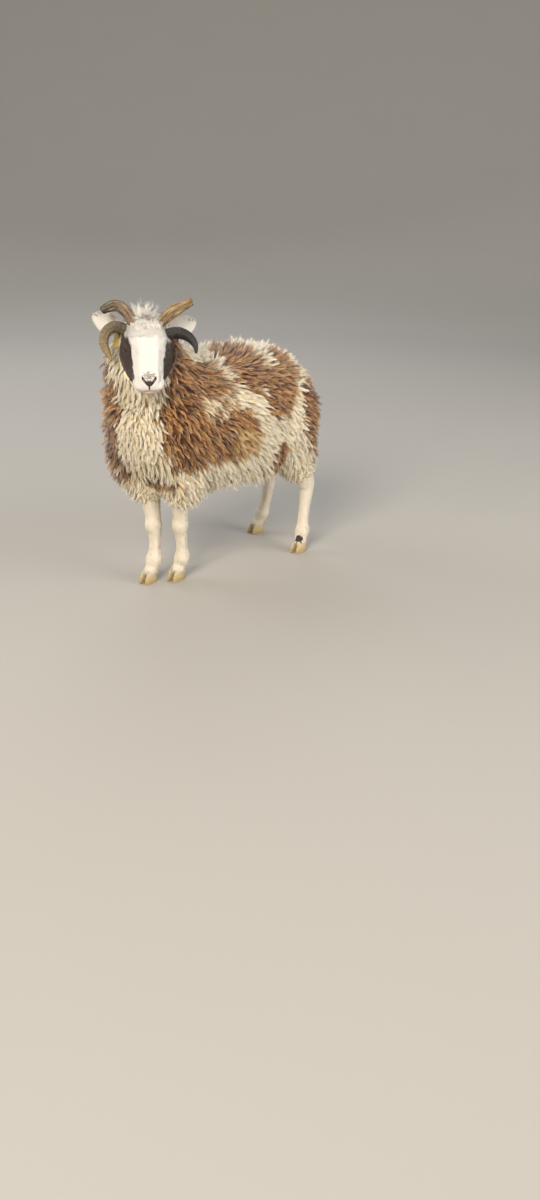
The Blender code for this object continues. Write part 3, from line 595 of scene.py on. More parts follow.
@dataclass(frozen=True)
class Plain(Finish):
    """A moulded or painted surface: one colour with a faint unevenness."""

    tone: str = "D8D5D0"
    worn: str = "CFC8BC"
    grain: float = 8.0

    def colour(self, tree: bpy.types.NodeTree) -> bpy.types.NodeSocket:
        """The tone and its worn shade, in soft spots."""
        return mixed(tree, noise(tree, self.grain, 3.0), linear(self.tone), linear(self.worn))

    def relief(self, tree: bpy.types.NodeTree) -> bpy.types.NodeSocket:
        """A faint skin."""
        return bumped(tree, noise(tree, self.grain / 4), 0.0002)


# Finishing a piece


def finished(obj: bpy.types.Object, material: bpy.types.Material, replaced: tuple = ()) -> None:
    """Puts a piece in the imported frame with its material, and makes it ride on the sheep.

    Args:
        obj: A piece in the sheep's own frame.
        material: Its material.
        replaced: The CAD nodes that it stands for.
    """
    obj.data.transform(Matrix.Translation(Vector(SHIFT)))
    obj.data.materials.clear()
    obj.data.materials.append(material)
    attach(obj, "root")
    if replaced:
        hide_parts(*replaced)
    log.info("%s: %d faces", obj.name, len(obj.data.polygons))


# Markings


class Tone(Enum):
    """What a patch of the coat is painted with: how brown it is, and how much ochre tints its cream."""

    CREAM = (0.0, 0.0)
    MIXED = (0.45, 0.2)
    BROWN = (1.0, 0.0)
    OCHRE = (0.45, 0.75)


@dataclass(frozen=True)
class Patch:
    """A rounded patch of colour in the sheep's own frame."""

    tone: Tone
    centre: tuple
    reach: tuple


@dataclass(frozen=True)
class Markings:
    """The piebald coat, shared by skin and fleece. Later patches lie over earlier ones."""

    ragged: float = 0.13
    softness: float = 0.14
    blaze: tuple = (  # places down the face, and the half width of the white there
        (0.04, 0.052, 0.074, 0.095, 0.117, 0.139, 0.160, 0.205),
        (0.068, 0.066, 0.061, 0.053, 0.047, 0.0445, 0.0424, 0.040),
    )
    blaze_middle: tuple = (  # places down the face, and how far left its middle lies
        (0.040, 0.052, 0.074, 0.095, 0.120, 0.139),
        (0.003, 0.004, 0.006, 0.004, 0.0015, 0.0),
    )
    jaw: tuple = ((0.0, 0.06, 0.12, 0.17, 0.21), (-0.100, -0.114, -0.106, -0.084, -0.054))
    pad: tuple = ((0.219, 0.223, 0.227, 0.231, 0.236), (0.0050, 0.0085, 0.0062, 0.0030, 0.0020))
    pastern_spot: tuple = ((0.130, 0.266, 0.052), (0.016, 0.016, 0.012))
    patches: tuple = (
        Patch(Tone.BROWN, (-0.115, -0.310, 0.560), (0.125, 0.170, 0.250)),  # right shoulder and neck
        Patch(Tone.BROWN, (-0.085, -0.390, 0.690), (0.074, 0.120, 0.110)),  # right neck
        Patch(Tone.BROWN, (-0.060, -0.430, 0.600), (0.084, 0.110, 0.110)),
        Patch(Tone.BROWN, (0.185, -0.245, 0.560), (0.125, 0.118, 0.172)),  # left shoulder
        Patch(Tone.BROWN, (0.135, -0.270, 0.740), (0.060, 0.070, 0.080)),  # behind the left horn
        Patch(Tone.BROWN, (0.190, -0.110, 0.500), (0.085, 0.118, 0.085)),  # left flank
        Patch(Tone.OCHRE, (0.195, -0.045, 0.465), (0.070, 0.060, 0.054)),
        Patch(Tone.MIXED, (0.190, -0.165, 0.600), (0.070, 0.065, 0.050)),
        Patch(Tone.CREAM, (0.070, -0.155, 0.735), (0.080, 0.060, 0.040)),  # withers
        Patch(Tone.MIXED, (0.160, -0.105, 0.640), (0.060, 0.030, 0.065)),
        Patch(Tone.BROWN, (0.140, -0.162, 0.672), (0.064, 0.060, 0.054)),
        Patch(Tone.BROWN, (0.090, 0.020, 0.690), (0.130, 0.088, 0.100)),  # saddle
        Patch(Tone.BROWN, (0.165, 0.115, 0.600), (0.095, 0.075, 0.088)),
        Patch(Tone.BROWN, (0.105, 0.205, 0.690), (0.075, 0.060, 0.070)),  # loin
        Patch(Tone.BROWN, (0.140, 0.175, 0.630), (0.060, 0.045, 0.060)),
        Patch(Tone.CREAM, (0.070, 0.130, 0.715), (0.070, 0.030, 0.050)),
        Patch(Tone.BROWN, (0.150, 0.125, 0.385), (0.070, 0.035, 0.062)),  # fold of the flank
        Patch(Tone.BROWN, (0.140, 0.340, 0.510), (0.110, 0.112, 0.165)),  # buttock beside the tail
        Patch(Tone.BROWN, (-0.120, 0.060, 0.640), (0.110, 0.095, 0.110)),  # right side
        Patch(Tone.BROWN, (-0.160, 0.240, 0.520), (0.090, 0.075, 0.110)),
        Patch(Tone.MIXED, (-0.180, -0.020, 0.450), (0.060, 0.060, 0.045)),
        Patch(Tone.BROWN, (0.050, -0.285, 0.350), (0.070, 0.045, 0.022)),  # brisket
        Patch(Tone.BROWN, (0.000, 0.440, 0.460), (0.075, 0.085, 0.200)),  # tail
    )

    def coat(self, points: Array) -> tuple[Array, Array]:
        """How brown, and how ochre, the coat is at each point.

        Args:
            points: Places in the sheep's own frame.

        Returns:
            Two shares from 0 to 1 for each place.
        """
        brown = np.zeros(len(points))
        ochre = np.zeros(len(points))
        for i, patch in enumerate(self.patches):
            away = np.linalg.norm((points - np.array(patch.centre)) / np.array(patch.reach), axis=1)
            away = away + self.ragged * ripple(points, 0.055, i) + 0.05 * ripple(points, 0.018, i)
            cover = 1 - smooth_step(1 - self.softness, 1 + self.softness, away)
            brown += cover * (patch.tone.value[0] - brown)
            ochre += cover * (patch.tone.value[1] - ochre)
        return brown, ochre

    def hide(self, points: Array, normals: Array) -> tuple[Array, Array]:
        """The marks and tints of the short hair and of the hide under the wool.

        Args:
            points: Places in the sheep's own frame.
            normals: The hide's outward directions there.

        Returns:
            Black, grey and brown for each place, and warm, pink and nothing for each.
        """
        down, side, above = HEAD.coordinates(points).T
        wide = np.abs(side + 0.0005)
        on_head = smooth_step(-0.02, 0.0, down) * smooth_step(-0.16, -0.14, above)
        on_head *= smooth_step(0.086, 0.080, wide)
        uneven = 0.0020 * ripple(points, 0.03, 40)
        # The white blaze: its half width and its middle, from the poll past the eyes and down the nose
        edge = np.interp(down, *self.blaze)
        middle = np.interp(down, *self.blaze_middle)
        cheek = smooth_step(-0.0015, 0.0015, np.abs(side - middle) - edge + uneven)
        cheek *= smooth_step(0.000, 0.012, down + uneven) * smooth_step(0.208, 0.200, down)
        jaw = np.interp(down, *self.jaw)
        black = cheek * smooth_step(-0.004, 0.004, above - jaw + uneven)
        for sign in (1, -1):
            line = HEAD.place(Face().nostril_line(sign))
            near = np.min(np.linalg.norm(points[:, None] - line[::2], axis=2), axis=1)
            black = np.maximum(black, smooth_step(0.0046, 0.0030, near))
        pad = np.interp(down, *self.pad)
        pad = smooth_step(0.0008, -0.0008, wide - pad) * smooth_step(0.2185, 0.2215, down)
        black = np.maximum(black, pad * smooth_step(-0.0300, -0.0275, above))
        speckle = np.exp(-(((down - 0.206) / 0.018) ** 2 + (side / 0.027) ** 2) ** 1.5) * (above > -0.03)
        grey = speckle * (0.62 + 0.35 * ripple(points, 0.006, 41))
        for sign in (1, -1):
            near = np.linalg.norm(points - HEAD.eye_frame(sign)[0], axis=1)
            black = np.maximum(black, smooth_step(0.0210, 0.0180, near))
        warm = 0.60 * np.exp(-(((down - 0.048) / 0.020) ** 2 + (side / 0.034) ** 2))
        warm *= 0.7 + 0.5 * ripple(points, 0.02, 42)
        warm = np.maximum(warm * on_head, 0.6 * smooth_step(-0.095, -0.12, above) * on_head)
        pink = 0.55 * smooth_step(0.224, 0.232, down) * smooth_step(-0.026, -0.032, above) * on_head
        body = 1 - on_head
        legs = smooth_step(0.36, 0.30, points[:, 2])
        brown = self.coat(points)[0] * body * (1 - legs)
        warm = np.maximum(warm, body * (0.8 - 0.40 * legs))
        centre, reach = self.pastern_spot
        spot = np.linalg.norm((points - np.array(centre)) / reach, axis=1)
        black = np.where(legs > 0.5, smooth_step(1.1, 0.9, spot), black * on_head)
        warm = np.maximum(warm, 0.5 * smooth_step(0.085, 0.035, points[:, 2]))
        grey = grey * on_head
        for ear in EARS:
            along, broad, front = ear.axes
            share = ear.share_at(points, 0.036)
            on_ear = share > 0.20
            high = (points - HEAD.place(ear.root)) @ broad / ear.width_at(share)
            tip = smooth_step(0.66, 0.80, share) * smooth_step(-0.1, 0.35, high)
            tip *= 0.40 + 0.30 * ripple(points, 0.006, 43)
            inside = normals @ front > 0
            black = np.where(on_ear, 0.0, black)
            grey = np.where(on_ear, np.where(inside, tip, 0.0), grey)
            warm = np.where(on_ear, 0.10, warm)
            pink = np.where(on_ear, 0.30 * inside * smooth_step(0.60, 0.30, share), pink)
            brown = np.where(on_ear, 0.0, brown)
        return np.stack((black, grey, brown), 1), np.stack((warm, pink, 0 * warm), 1)


MARKINGS = Markings()


# The body's form


@dataclass(frozen=True)
class Section:
    """One cross-section of a body part at the skin, with the depth of wool that stands on it."""

    centre: tuple
    half_width: float
    half_depth: float
    wool: float = 0.0


def tube(sections: tuple, share: float, sides: int, steps: int) -> tuple[Array, Array]:
    """A closed tube with domed ends through cross-sections, each grown by a share of its wool.

    Args:
        sections: The cross-sections in order.
        share: How much of the wool's depth is added all round.
        sides: Points round each ring.
        steps: Rings along the tube.

    Returns:
        The points and triangles.
    """
    flat = [(*s.centre, s.half_width, s.half_depth, s.wool) for s in sections]
    read = curve(flat, np.linspace(0, 1, steps + 1))
    centres = read[:, :3]
    along = unit(np.gradient(centres, axis=0))
    side = unit(np.array((1.0, 0, 0)) - along[:, :1] * along)
    up = np.cross(side, along)
    extra = share * read[:, 5]
    rings = ovals(centres, side, up, read[:, 3] + extra, read[:, 4] + extra, sides, 2.2)
    caps = []
    for ring, inner in ((rings[0], centres[1]), (rings[-1], centres[-2])):
        middle = ring.mean(0)
        radius = np.linalg.norm(ring - middle, axis=1).min()
        outward = unit(middle - inner)
        smaller = [middle + s * (ring - middle) + h * radius * outward for s, h in ((0.9, 0.2), (0.66, 0.37))]
        caps.append((smaller, middle + 0.48 * radius * outward))
    (first, first_tip), (last, last_tip) = caps
    return loft(np.stack((*first[::-1], *rings, *last)), first_tip, last_tip)


@dataclass(frozen=True)
class Body:
    """The woolly part of the sheep: torso, neck, thighs, forearms and tail."""

    voxel: float = 0.007
    evening: int = 6
    torso: tuple = (
        Section((-0.008, 0.335, 0.550), 0.058, 0.084, 0.050),  # pin bones
        Section((-0.008, 0.285, 0.540), 0.102, 0.124, 0.058),  # rump
        Section((-0.006, 0.210, 0.526), 0.127, 0.154, 0.062),  # hips
        Section((-0.004, 0.110, 0.516), 0.140, 0.173, 0.061),  # loin
        Section((-0.002, 0.000, 0.512), 0.152, 0.178, 0.060),  # barrel
        Section((0.000, -0.110, 0.512), 0.149, 0.173, 0.060),  # girth
        Section((0.002, -0.210, 0.518), 0.142, 0.171, 0.062),  # shoulders
        Section((0.006, -0.290, 0.508), 0.124, 0.152, 0.062),  # breast
        Section((0.012, -0.345, 0.490), 0.082, 0.105, 0.058),  # brisket
    )
    neck: tuple = (
        Section((-0.004, -0.190, 0.560), 0.108, 0.105, 0.060),
        Section((0.008, -0.255, 0.645), 0.102, 0.105, 0.062),
        Section((0.026, -0.306, 0.720), 0.088, 0.088, 0.058),
        Section((0.046, -0.326, 0.780), 0.068, 0.066, 0.036),
        Section((0.062, -0.338, 0.832), 0.052, 0.050, 0.014),
    )
    thigh_left: tuple = (
        Section((0.072, 0.215, 0.560), 0.060, 0.100, 0.052),
        Section((0.084, 0.225, 0.470), 0.058, 0.096, 0.050),
        Section((0.092, 0.250, 0.390), 0.046, 0.070, 0.046),
        Section((0.098, 0.285, 0.325), 0.034, 0.047, 0.032),
        Section((0.102, 0.305, 0.292), 0.028, 0.038, 0.018),
    )
    thigh_right: tuple = (
        Section((-0.084, 0.220, 0.560), 0.060, 0.100, 0.052),
        Section((-0.094, 0.238, 0.470), 0.058, 0.096, 0.050),
        Section((-0.098, 0.266, 0.390), 0.046, 0.070, 0.046),
        Section((-0.099, 0.305, 0.325), 0.034, 0.047, 0.032),
        Section((-0.100, 0.325, 0.292), 0.028, 0.038, 0.018),
    )
    forearm_left: tuple = (
        Section((0.082, -0.205, 0.500), 0.056, 0.082, 0.052),
        Section((0.078, -0.210, 0.410), 0.048, 0.060, 0.054),
        Section((0.068, -0.212, 0.340), 0.036, 0.044, 0.048),
        Section((0.058, -0.214, 0.288), 0.029, 0.034, 0.030),
    )
    forearm_right: tuple = (
        Section((-0.064, -0.245, 0.500), 0.070, 0.090, 0.056),
        Section((-0.072, -0.268, 0.410), 0.060, 0.072, 0.058),
        Section((-0.056, -0.272, 0.345), 0.042, 0.050, 0.048),
        Section((-0.042, -0.270, 0.294), 0.029, 0.034, 0.028),
    )
    tail: tuple = (
        Section((-0.006, 0.325, 0.625), 0.026, 0.022, 0.030),
        Section((-0.004, 0.372, 0.585), 0.024, 0.020, 0.034),
        Section((-0.002, 0.398, 0.520), 0.021, 0.018, 0.038),
        Section((0.000, 0.412, 0.440), 0.018, 0.016, 0.036),
        Section((0.002, 0.420, 0.365), 0.014, 0.012, 0.030),
        Section((0.004, 0.424, 0.320), 0.008, 0.007, 0.022),
    )

    def form(self, name: str, share: float, voxel: float) -> bpy.types.Object:
        """The whole woolly body as one smooth closed object, out to a share of the wool's depth."""
        parts = [tube(self.torso, share, 32, 36), tube(self.tail, share, 20, 30)]
        for sections in (self.neck, self.thigh_left, self.thigh_right, self.forearm_left, self.forearm_right):
            parts.append(tube(sections, share, 28, 24))
        offsets = np.cumsum([0] + [len(points) for points, _ in parts])
        points = np.concatenate([points for points, _ in parts])
        triangles = np.concatenate([turned_out(*part) + offset for part, offset in zip(parts, offsets)])
        obj = modified(mesh_object(name, points, triangles), "REMESH", mode="VOXEL", voxel_size=voxel)
        modified(obj, "SMOOTH", iterations=self.evening)
        obj.data.shade_smooth()
        return obj


@dataclass(frozen=True)
class Leg:
    """The bare part of one leg, from inside the wool down to the coronet."""

    name: str
    toe_yaw: float
    sections: tuple
    sides: int = 40
    steps: int = 96

    @property
    def forward(self) -> Array:
        """The way the toes point."""
        return np.array((math.sin(self.toe_yaw), -math.cos(self.toe_yaw), 0.0))

    def middle_at(self, heights: Array) -> tuple[Array, Array]:
        """Where the leg's middle is at some heights."""
        centres = np.array([s.centre for s in self.sections])[::-1]
        return tuple(np.interp(heights, centres[:, 2], centres[:, i]) for i in (0, 1))

    @property
    def foot(self) -> Array:
        """The place on the floor under the middle of the foot."""
        return np.array((*self.sections[-1].centre[:2], 0.0))

    @property
    def swells(self) -> tuple:
        """Rises of bone and hollows beside the tendons: forward, to the side and above the floor."""
        fetlock = (
            Swell((-0.020, 0.0, 0.080), (0.012, 0.02, 0.012), 0.003),
            Swell((0.020, 0.0, 0.050), (0.012, 0.02, 0.010), -0.002),
        )
        if "hind" in self.name:
            return (
                Swell((-0.030, 0.0, 0.262), (0.014, 0.012, 0.022), 0.009),  # point of the hock
                Swell((0.020, 0.0, 0.235), (0.012, 0.02, 0.02), -0.003),
                Swell((-0.006, 0.018, 0.165), (0.006, 0.010, 0.040), -0.0028),
                *fetlock,
            )
        return (
            Swell((0.026, 0.0, 0.192), (0.012, 0.018, 0.020), 0.0035),  # knee
            Swell((-0.026, 0.0, 0.180), (0.010, 0.014, 0.014), 0.0025),
            Swell((-0.005, 0.018, 0.120), (0.006, 0.010, 0.034), -0.0028),
            *fetlock,
        )

    def build(self) -> bpy.types.Object:
        """The leg as a closed tube, narrowed just under the coronet."""
        flat = [(*s.centre, s.half_width, s.half_depth) for s in self.sections]
        read = curve(flat, np.linspace(0, 1, 12 * self.steps))
        read = read[read[:, 2] > CORONET - 0.001]
        read = read[np.linspace(0, len(read) - 1, self.steps).astype(int)]
        inward = read[[-1, -1]].copy()
        inward[:, 2] -= (0.003, 0.005)
        inward[:, 3:] *= ((0.9,), (0.6,))
        read = np.concatenate((read, inward))
        centres = read[:, :3]
        along = unit(np.gradient(centres, axis=0))
        left = np.cross(UP, self.forward)
        side = unit(left - (along @ left)[:, None] * along)
        up = np.cross(side, along)
        rings = ovals(centres, side, up, read[:, 3], read[:, 4], self.sides, 2.1)
        points, triangles = loft(rings)
        obj = mesh_object(self.name, points, triangles)
        middle = np.stack([np.interp(points[:, 2], centres[::-1, 2], centres[::-1, i]) for i in (0, 1)], 1)
        flatly = points[:, :2] - middle
        local = np.stack((flatly @ self.forward[:2], flatly @ left[:2], points[:, 2]), 1)
        moved = points + points_of(obj, "normal") * swollen(local, self.swells)[:, None]
        set_points(obj, moved)
        return obj


LEGS = (
    Leg("leg_front_left", math.radians(14), (
        Section((0.056, -0.222, 0.370), 0.032, 0.040),  # forearm
        Section((0.050, -0.218, 0.290), 0.030, 0.036),
        Section((0.043, -0.212, 0.225), 0.024, 0.027),
        Section((0.040, -0.211, 0.190), 0.026, 0.028),  # knee
        Section((0.038, -0.207, 0.155), 0.020, 0.022),
        Section((0.036, -0.203, 0.110), 0.018, 0.020),  # cannon
        Section((0.034, -0.203, 0.072), 0.025, 0.027),  # fetlock
        Section((0.031, -0.211, 0.046), 0.021, 0.023),  # pastern
        Section((0.031, -0.224, 0.022), 0.023, 0.029),  # coronet
    )),
    Leg("leg_front_right", math.radians(14), (
        Section((-0.042, -0.270, 0.370), 0.032, 0.040),
        Section((-0.035, -0.272, 0.290), 0.030, 0.036),
        Section((-0.026, -0.272, 0.225), 0.024, 0.027),
        Section((-0.023, -0.273, 0.190), 0.026, 0.028),
        Section((-0.020, -0.271, 0.155), 0.020, 0.022),
        Section((-0.018, -0.275, 0.110), 0.018, 0.020),
        Section((-0.017, -0.282, 0.072), 0.025, 0.027),
        Section((-0.016, -0.292, 0.046), 0.021, 0.023),
        Section((-0.015, -0.305, 0.022), 0.023, 0.029),
    )),
    Leg("leg_hind_left", math.radians(10), (
        Section((0.098, 0.276, 0.345), 0.032, 0.046),  # gaskin
        Section((0.103, 0.303, 0.285), 0.028, 0.041),
        Section((0.106, 0.320, 0.245), 0.026, 0.037),  # hock
        Section((0.108, 0.320, 0.210), 0.022, 0.027),
        Section((0.111, 0.310, 0.150), 0.019, 0.022),  # cannon
        Section((0.114, 0.302, 0.105), 0.019, 0.021),
        Section((0.117, 0.296, 0.072), 0.025, 0.026),  # fetlock
        Section((0.119, 0.288, 0.046), 0.021, 0.023),  # pastern
        Section((0.122, 0.277, 0.022), 0.023, 0.029),  # coronet
    )),
    Leg("leg_hind_right", math.radians(6), (
        Section((-0.099, 0.300, 0.345), 0.029, 0.040),
        Section((-0.101, 0.332, 0.285), 0.026, 0.035),
        Section((-0.103, 0.348, 0.245), 0.026, 0.034),
        Section((-0.106, 0.345, 0.210), 0.022, 0.027),
        Section((-0.114, 0.340, 0.150), 0.019, 0.022),
        Section((-0.121, 0.334, 0.105), 0.019, 0.021),
        Section((-0.127, 0.327, 0.072), 0.025, 0.026),
        Section((-0.132, 0.318, 0.046), 0.021, 0.023),
        Section((-0.136, 0.306, 0.022), 0.023, 0.029),
    )),
)


@dataclass(frozen=True)
class Face:
    """The skin of the head with its lids, nostrils and mouth."""

    sides: int = 200
    steps: int = 190
    lid: float = 0.0024
    opening: tuple = (0.0260, 0.0125)
    nostril_bends: tuple = (
        (0.2100, 0.0185, -0.0078), (0.2165, 0.0160, -0.0086), (0.2225, 0.0105, -0.0112), (0.2285, 0.0036, -0.0156),
    )
    sections: tuple = (  # down the face; top and bottom heights; half widths above, at the middle and below
        (-0.014, -0.026, -0.080, 0.026, 0.034, 0.028),  # back of the skull
        (0.004, -0.002, -0.100, 0.038, 0.054, 0.046),  # poll
        (0.035, 0.007, -0.120, 0.046, 0.064, 0.058),
        (0.070, 0.010, -0.130, 0.050, 0.070, 0.067),  # forehead
        (0.098, 0.008, -0.128, 0.048, 0.073, 0.072),  # eyes and jaw angle
        (0.125, 0.004, -0.116, 0.040, 0.065, 0.070),
        (0.155, 0.001, -0.098, 0.036, 0.053, 0.062),  # bridge of the nose
        (0.186, -0.001, -0.079, 0.031, 0.044, 0.049),
        (0.207, -0.004, -0.070, 0.030, 0.044, 0.039),  # nostrils
        (0.222, -0.009, -0.063, 0.027, 0.041, 0.033),  # lips
        (0.231, -0.016, -0.055, 0.0220, 0.035, 0.027),
        (0.236, -0.024, -0.046, 0.0140, 0.023, 0.018),
    )
    swells: tuple = (
        Swell((0.082, 0.050, -0.008), (0.022, 0.014, 0.012), 0.0050),  # brow over the eye
        Swell((0.128, 0.044, -0.030), (0.018, 0.012, 0.014), -0.0032),  # hollow before the eye
        Swell((0.112, 0.060, -0.054), (0.030, 0.012, 0.008), 0.0034),  # cheekbone
        Swell((0.085, 0.068, -0.088), (0.035, 0.020, 0.030), 0.0030),  # chewing muscle
        Swell((0.148, 0.045, -0.075), (0.022, 0.015, 0.014), -0.0032),
        Swell((0.165, 0.024, -0.004), (0.045, 0.007, 0.008), 0.0014),  # edge of the nasal bone
        Swell((0.206, 0.024, -0.010), (0.012, 0.007, 0.007), 0.0032),  # wing of the nostril
        Swell((0.222, 0.024, -0.027), (0.016, 0.014, 0.006), 0.0026),  # upper lip
        Swell((0.230, 0.000, -0.048), (0.012, 0.020, 0.008), 0.0025),  # chin
        Swell((0.232, 0.000, -0.022), (0.008, 0.0022, 0.008), -0.0022),  # groove of the upper lip
        Swell((0.186, 0.038, -0.046), (0.012, 0.010, 0.008), -0.0022),  # corner of the mouth
        Swell((0.058, 0.058, -0.030), (0.016, 0.012, 0.014), -0.0030),  # temple
        Swell((0.060, 0.000, 0.010), (0.030, 0.030, 0.020), 0.0018),  # forehead
        Swell((0.160, 0.000, 0.000), (0.040, 0.010, 0.010), 0.0012),
    )

    def covers(self, down: Array, side: Array, above: Array) -> Array:
        """Whether places, given on the head, lie on it or just outside it."""
        rows = np.array(self.sections)
        top, bottom, high, middle, low = (np.interp(down, rows[:, 0], rows[:, i]) for i in range(1, 6))
        share = np.clip((top - above) / (top - bottom), 0.0, 1.0)
        upper = high + (middle - high) * share / 0.42
        wide = np.where(share < 0.42, upper, middle + (low - middle) * (share - 0.42) / 0.3)
        wide = np.where(share > 0.72, low * np.sqrt(np.maximum(1 - ((share - 0.72) / 0.28) ** 2, 0.0)), wide)
        return (down > -0.004) & (np.abs(side) < wide + 0.005) & (above > bottom - 0.006)

    def rings(self) -> Array:
        """Rings round the head, each from the top of the face to its left."""
        found = []
        for along, top, bottom, high, middle, low in curve(self.sections, np.linspace(0, 1, self.steps)):
            tall = top - bottom
            corners = (
                (0.0, top),
                (0.62 * high, top - 0.02 * tall),
                (high, top - 0.14 * tall),
                (middle, top - 0.42 * tall),
                (low, top - 0.72 * tall),
                (0.66 * low, bottom + 0.07 * tall),
                (0.0, bottom),
            )
            half = curve(corners, np.linspace(0, 1, self.sides // 2 + 1))
            other = half[-2:0:-1] * (-1, 1)
            both = np.concatenate((half, other))
            found.append(np.column_stack((np.full(len(both), along), both)))
        return np.stack(found)

    def shell(self) -> bpy.types.Object:
        """The head's outer form with its bones and muscles, still without openings."""
        rings = self.rings()
        back = np.array((self.sections[0][0] - 0.008, 0.0, -0.053))
        front = np.array((self.sections[-1][0] + 0.003, 0.0, -0.034))
        local, triangles = loft(rings, back, front)
        obj = mesh_object("face", HEAD.place(local), triangles)
        moved = points_of(obj) + points_of(obj, "normal") * swollen(local, self.swells)[:, None]
        set_points(obj, moved)
        return obj

    def ball(self, side: int, radius: float) -> bpy.types.Object:
        """A fine ball about an eye's centre."""
        deselect_all()
        centre, gaze, _, _ = HEAD.eye_frame(side)
        turn = Vector(UP).rotation_difference(Vector(gaze)).to_euler()
        bpy.ops.mesh.primitive_uv_sphere_add(
            segments=72, ring_count=48, radius=radius, location=centre, rotation=turn
        )
        bpy.ops.object.transform_apply(location=True, rotation=True, scale=True)
        return bpy.context.object

    def lid_opening(self, side: int) -> bpy.types.Object:
        """The almond-shaped space between the lids, from inside the eye outward."""
        centre, gaze, line, height = HEAD.eye_frame(side)
        angle = 2 * math.pi * np.arange(40) / 40
        across = np.cos(angle)
        rise = np.sin(angle) * (1 - 0.35 * across**2)
        wide, high = self.opening
        outline = np.outer(0.5 * wide * across, line) + np.outer(0.5 * high * rise, height)
        rings = np.stack([centre + gaze * depth + outline for depth in (0.004, 0.030)])
        return mesh_object("opening", *loft(rings))

    def mouth(self, shell: bpy.types.Object) -> bpy.types.Object:
        """A thin wedge that follows the muzzle, to cut the line of the mouth."""
        surface = BVHTree.FromObject(shell, bpy.context.evaluated_depsgraph_get())
        centre = HEAD.place((0.196, 0, -0.040))
        forward = unit(HEAD.axes[0] + 0.14 * HEAD.axes[2])
        up = unit(np.cross(forward, HEAD.left))
        rings = []
        for angle in np.radians(np.linspace(-104, 104, 90)):
            outward = math.cos(angle) * forward + math.sin(angle) * HEAD.left
            droop = -0.0035 * math.sin(angle) ** 2
            hit = np.array(surface.ray_cast(Vector(centre), Vector(outward))[0]) + droop * up
            depth = 0.0035 * (1 - 0.6 * (abs(angle) / math.radians(104)) ** 4)
            outer = hit + outward * 0.003
            rings.append([hit - outward * depth, outer + up * 0.0011, outer - up * 0.0011])
        return mesh_object("mouth", *loft(np.array(rings)))

    def nostril_line(self, side: int) -> Array:
        """The middle of a nostril, given on the head."""
        return curve(np.array(self.nostril_bends) * (1, side, 1), np.linspace(0, 1, 24))

    def nostril(self, side: int) -> bpy.types.Object:
        """A comma-shaped pit that slants down and in."""
        line = HEAD.place(self.nostril_line(side))
        along = unit(np.gradient(line, axis=0))
        across = unit(np.cross(along, HEAD.axes[2]))
        up = np.cross(across, along)
        share = np.linspace(0, 1, 24)
        radius = 0.0040 * np.sqrt(np.sin(math.pi * (0.04 + 0.92 * share))) * (1 - 0.55 * share)
        rings = ovals(line, across, up, radius * 0.75, radius * 1.5, 16, 2.0)
        return mesh_object("nostril", *loft(rings))

    def build(self) -> bpy.types.Object:
        """The head's skin with every opening cut, its lids softened."""
        shell = self.shell()
        cuts = [self.mouth(shell), self.nostril(1), self.nostril(-1)]
        boolean(shell, "UNION", [self.ball(side, HEAD.eye_radius + self.lid) for side in (1, -1)])
        self.soften(shell, 0.012, 0.030, 10)
        cuts += [self.lid_opening(side) for side in (1, -1)]
        cuts += [self.ball(side, HEAD.eye_radius + 0.0003) for side in (1, -1)]
        boolean(shell, "DIFFERENCE", cuts)
        self.soften(shell, 0.0138, 0.022, 2)
        return shell

    def soften(self, obj: bpy.types.Object, inner: float, outer: float, turns: int) -> None:
        """Evens out the creases about each eye, from one distance to another."""
        points = points_of(obj)
        near = np.zeros(len(points))
        for side in (1, -1):
            away = np.linalg.norm(points - HEAD.eye_frame(side)[0], axis=1)
            ring = smooth_step(inner, inner + 0.001, away) * smooth_step(outer, outer - 0.006, away)
            near = np.maximum(near, ring)
        group = obj.vertex_groups.new(name="near_eye")
        for i in np.flatnonzero(near > 0.02):
            group.add([int(i)], float(near[i]), "REPLACE")
        modified(obj, "SMOOTH", vertex_group=group.name, factor=0.5, iterations=turns)
        obj.vertex_groups.clear()


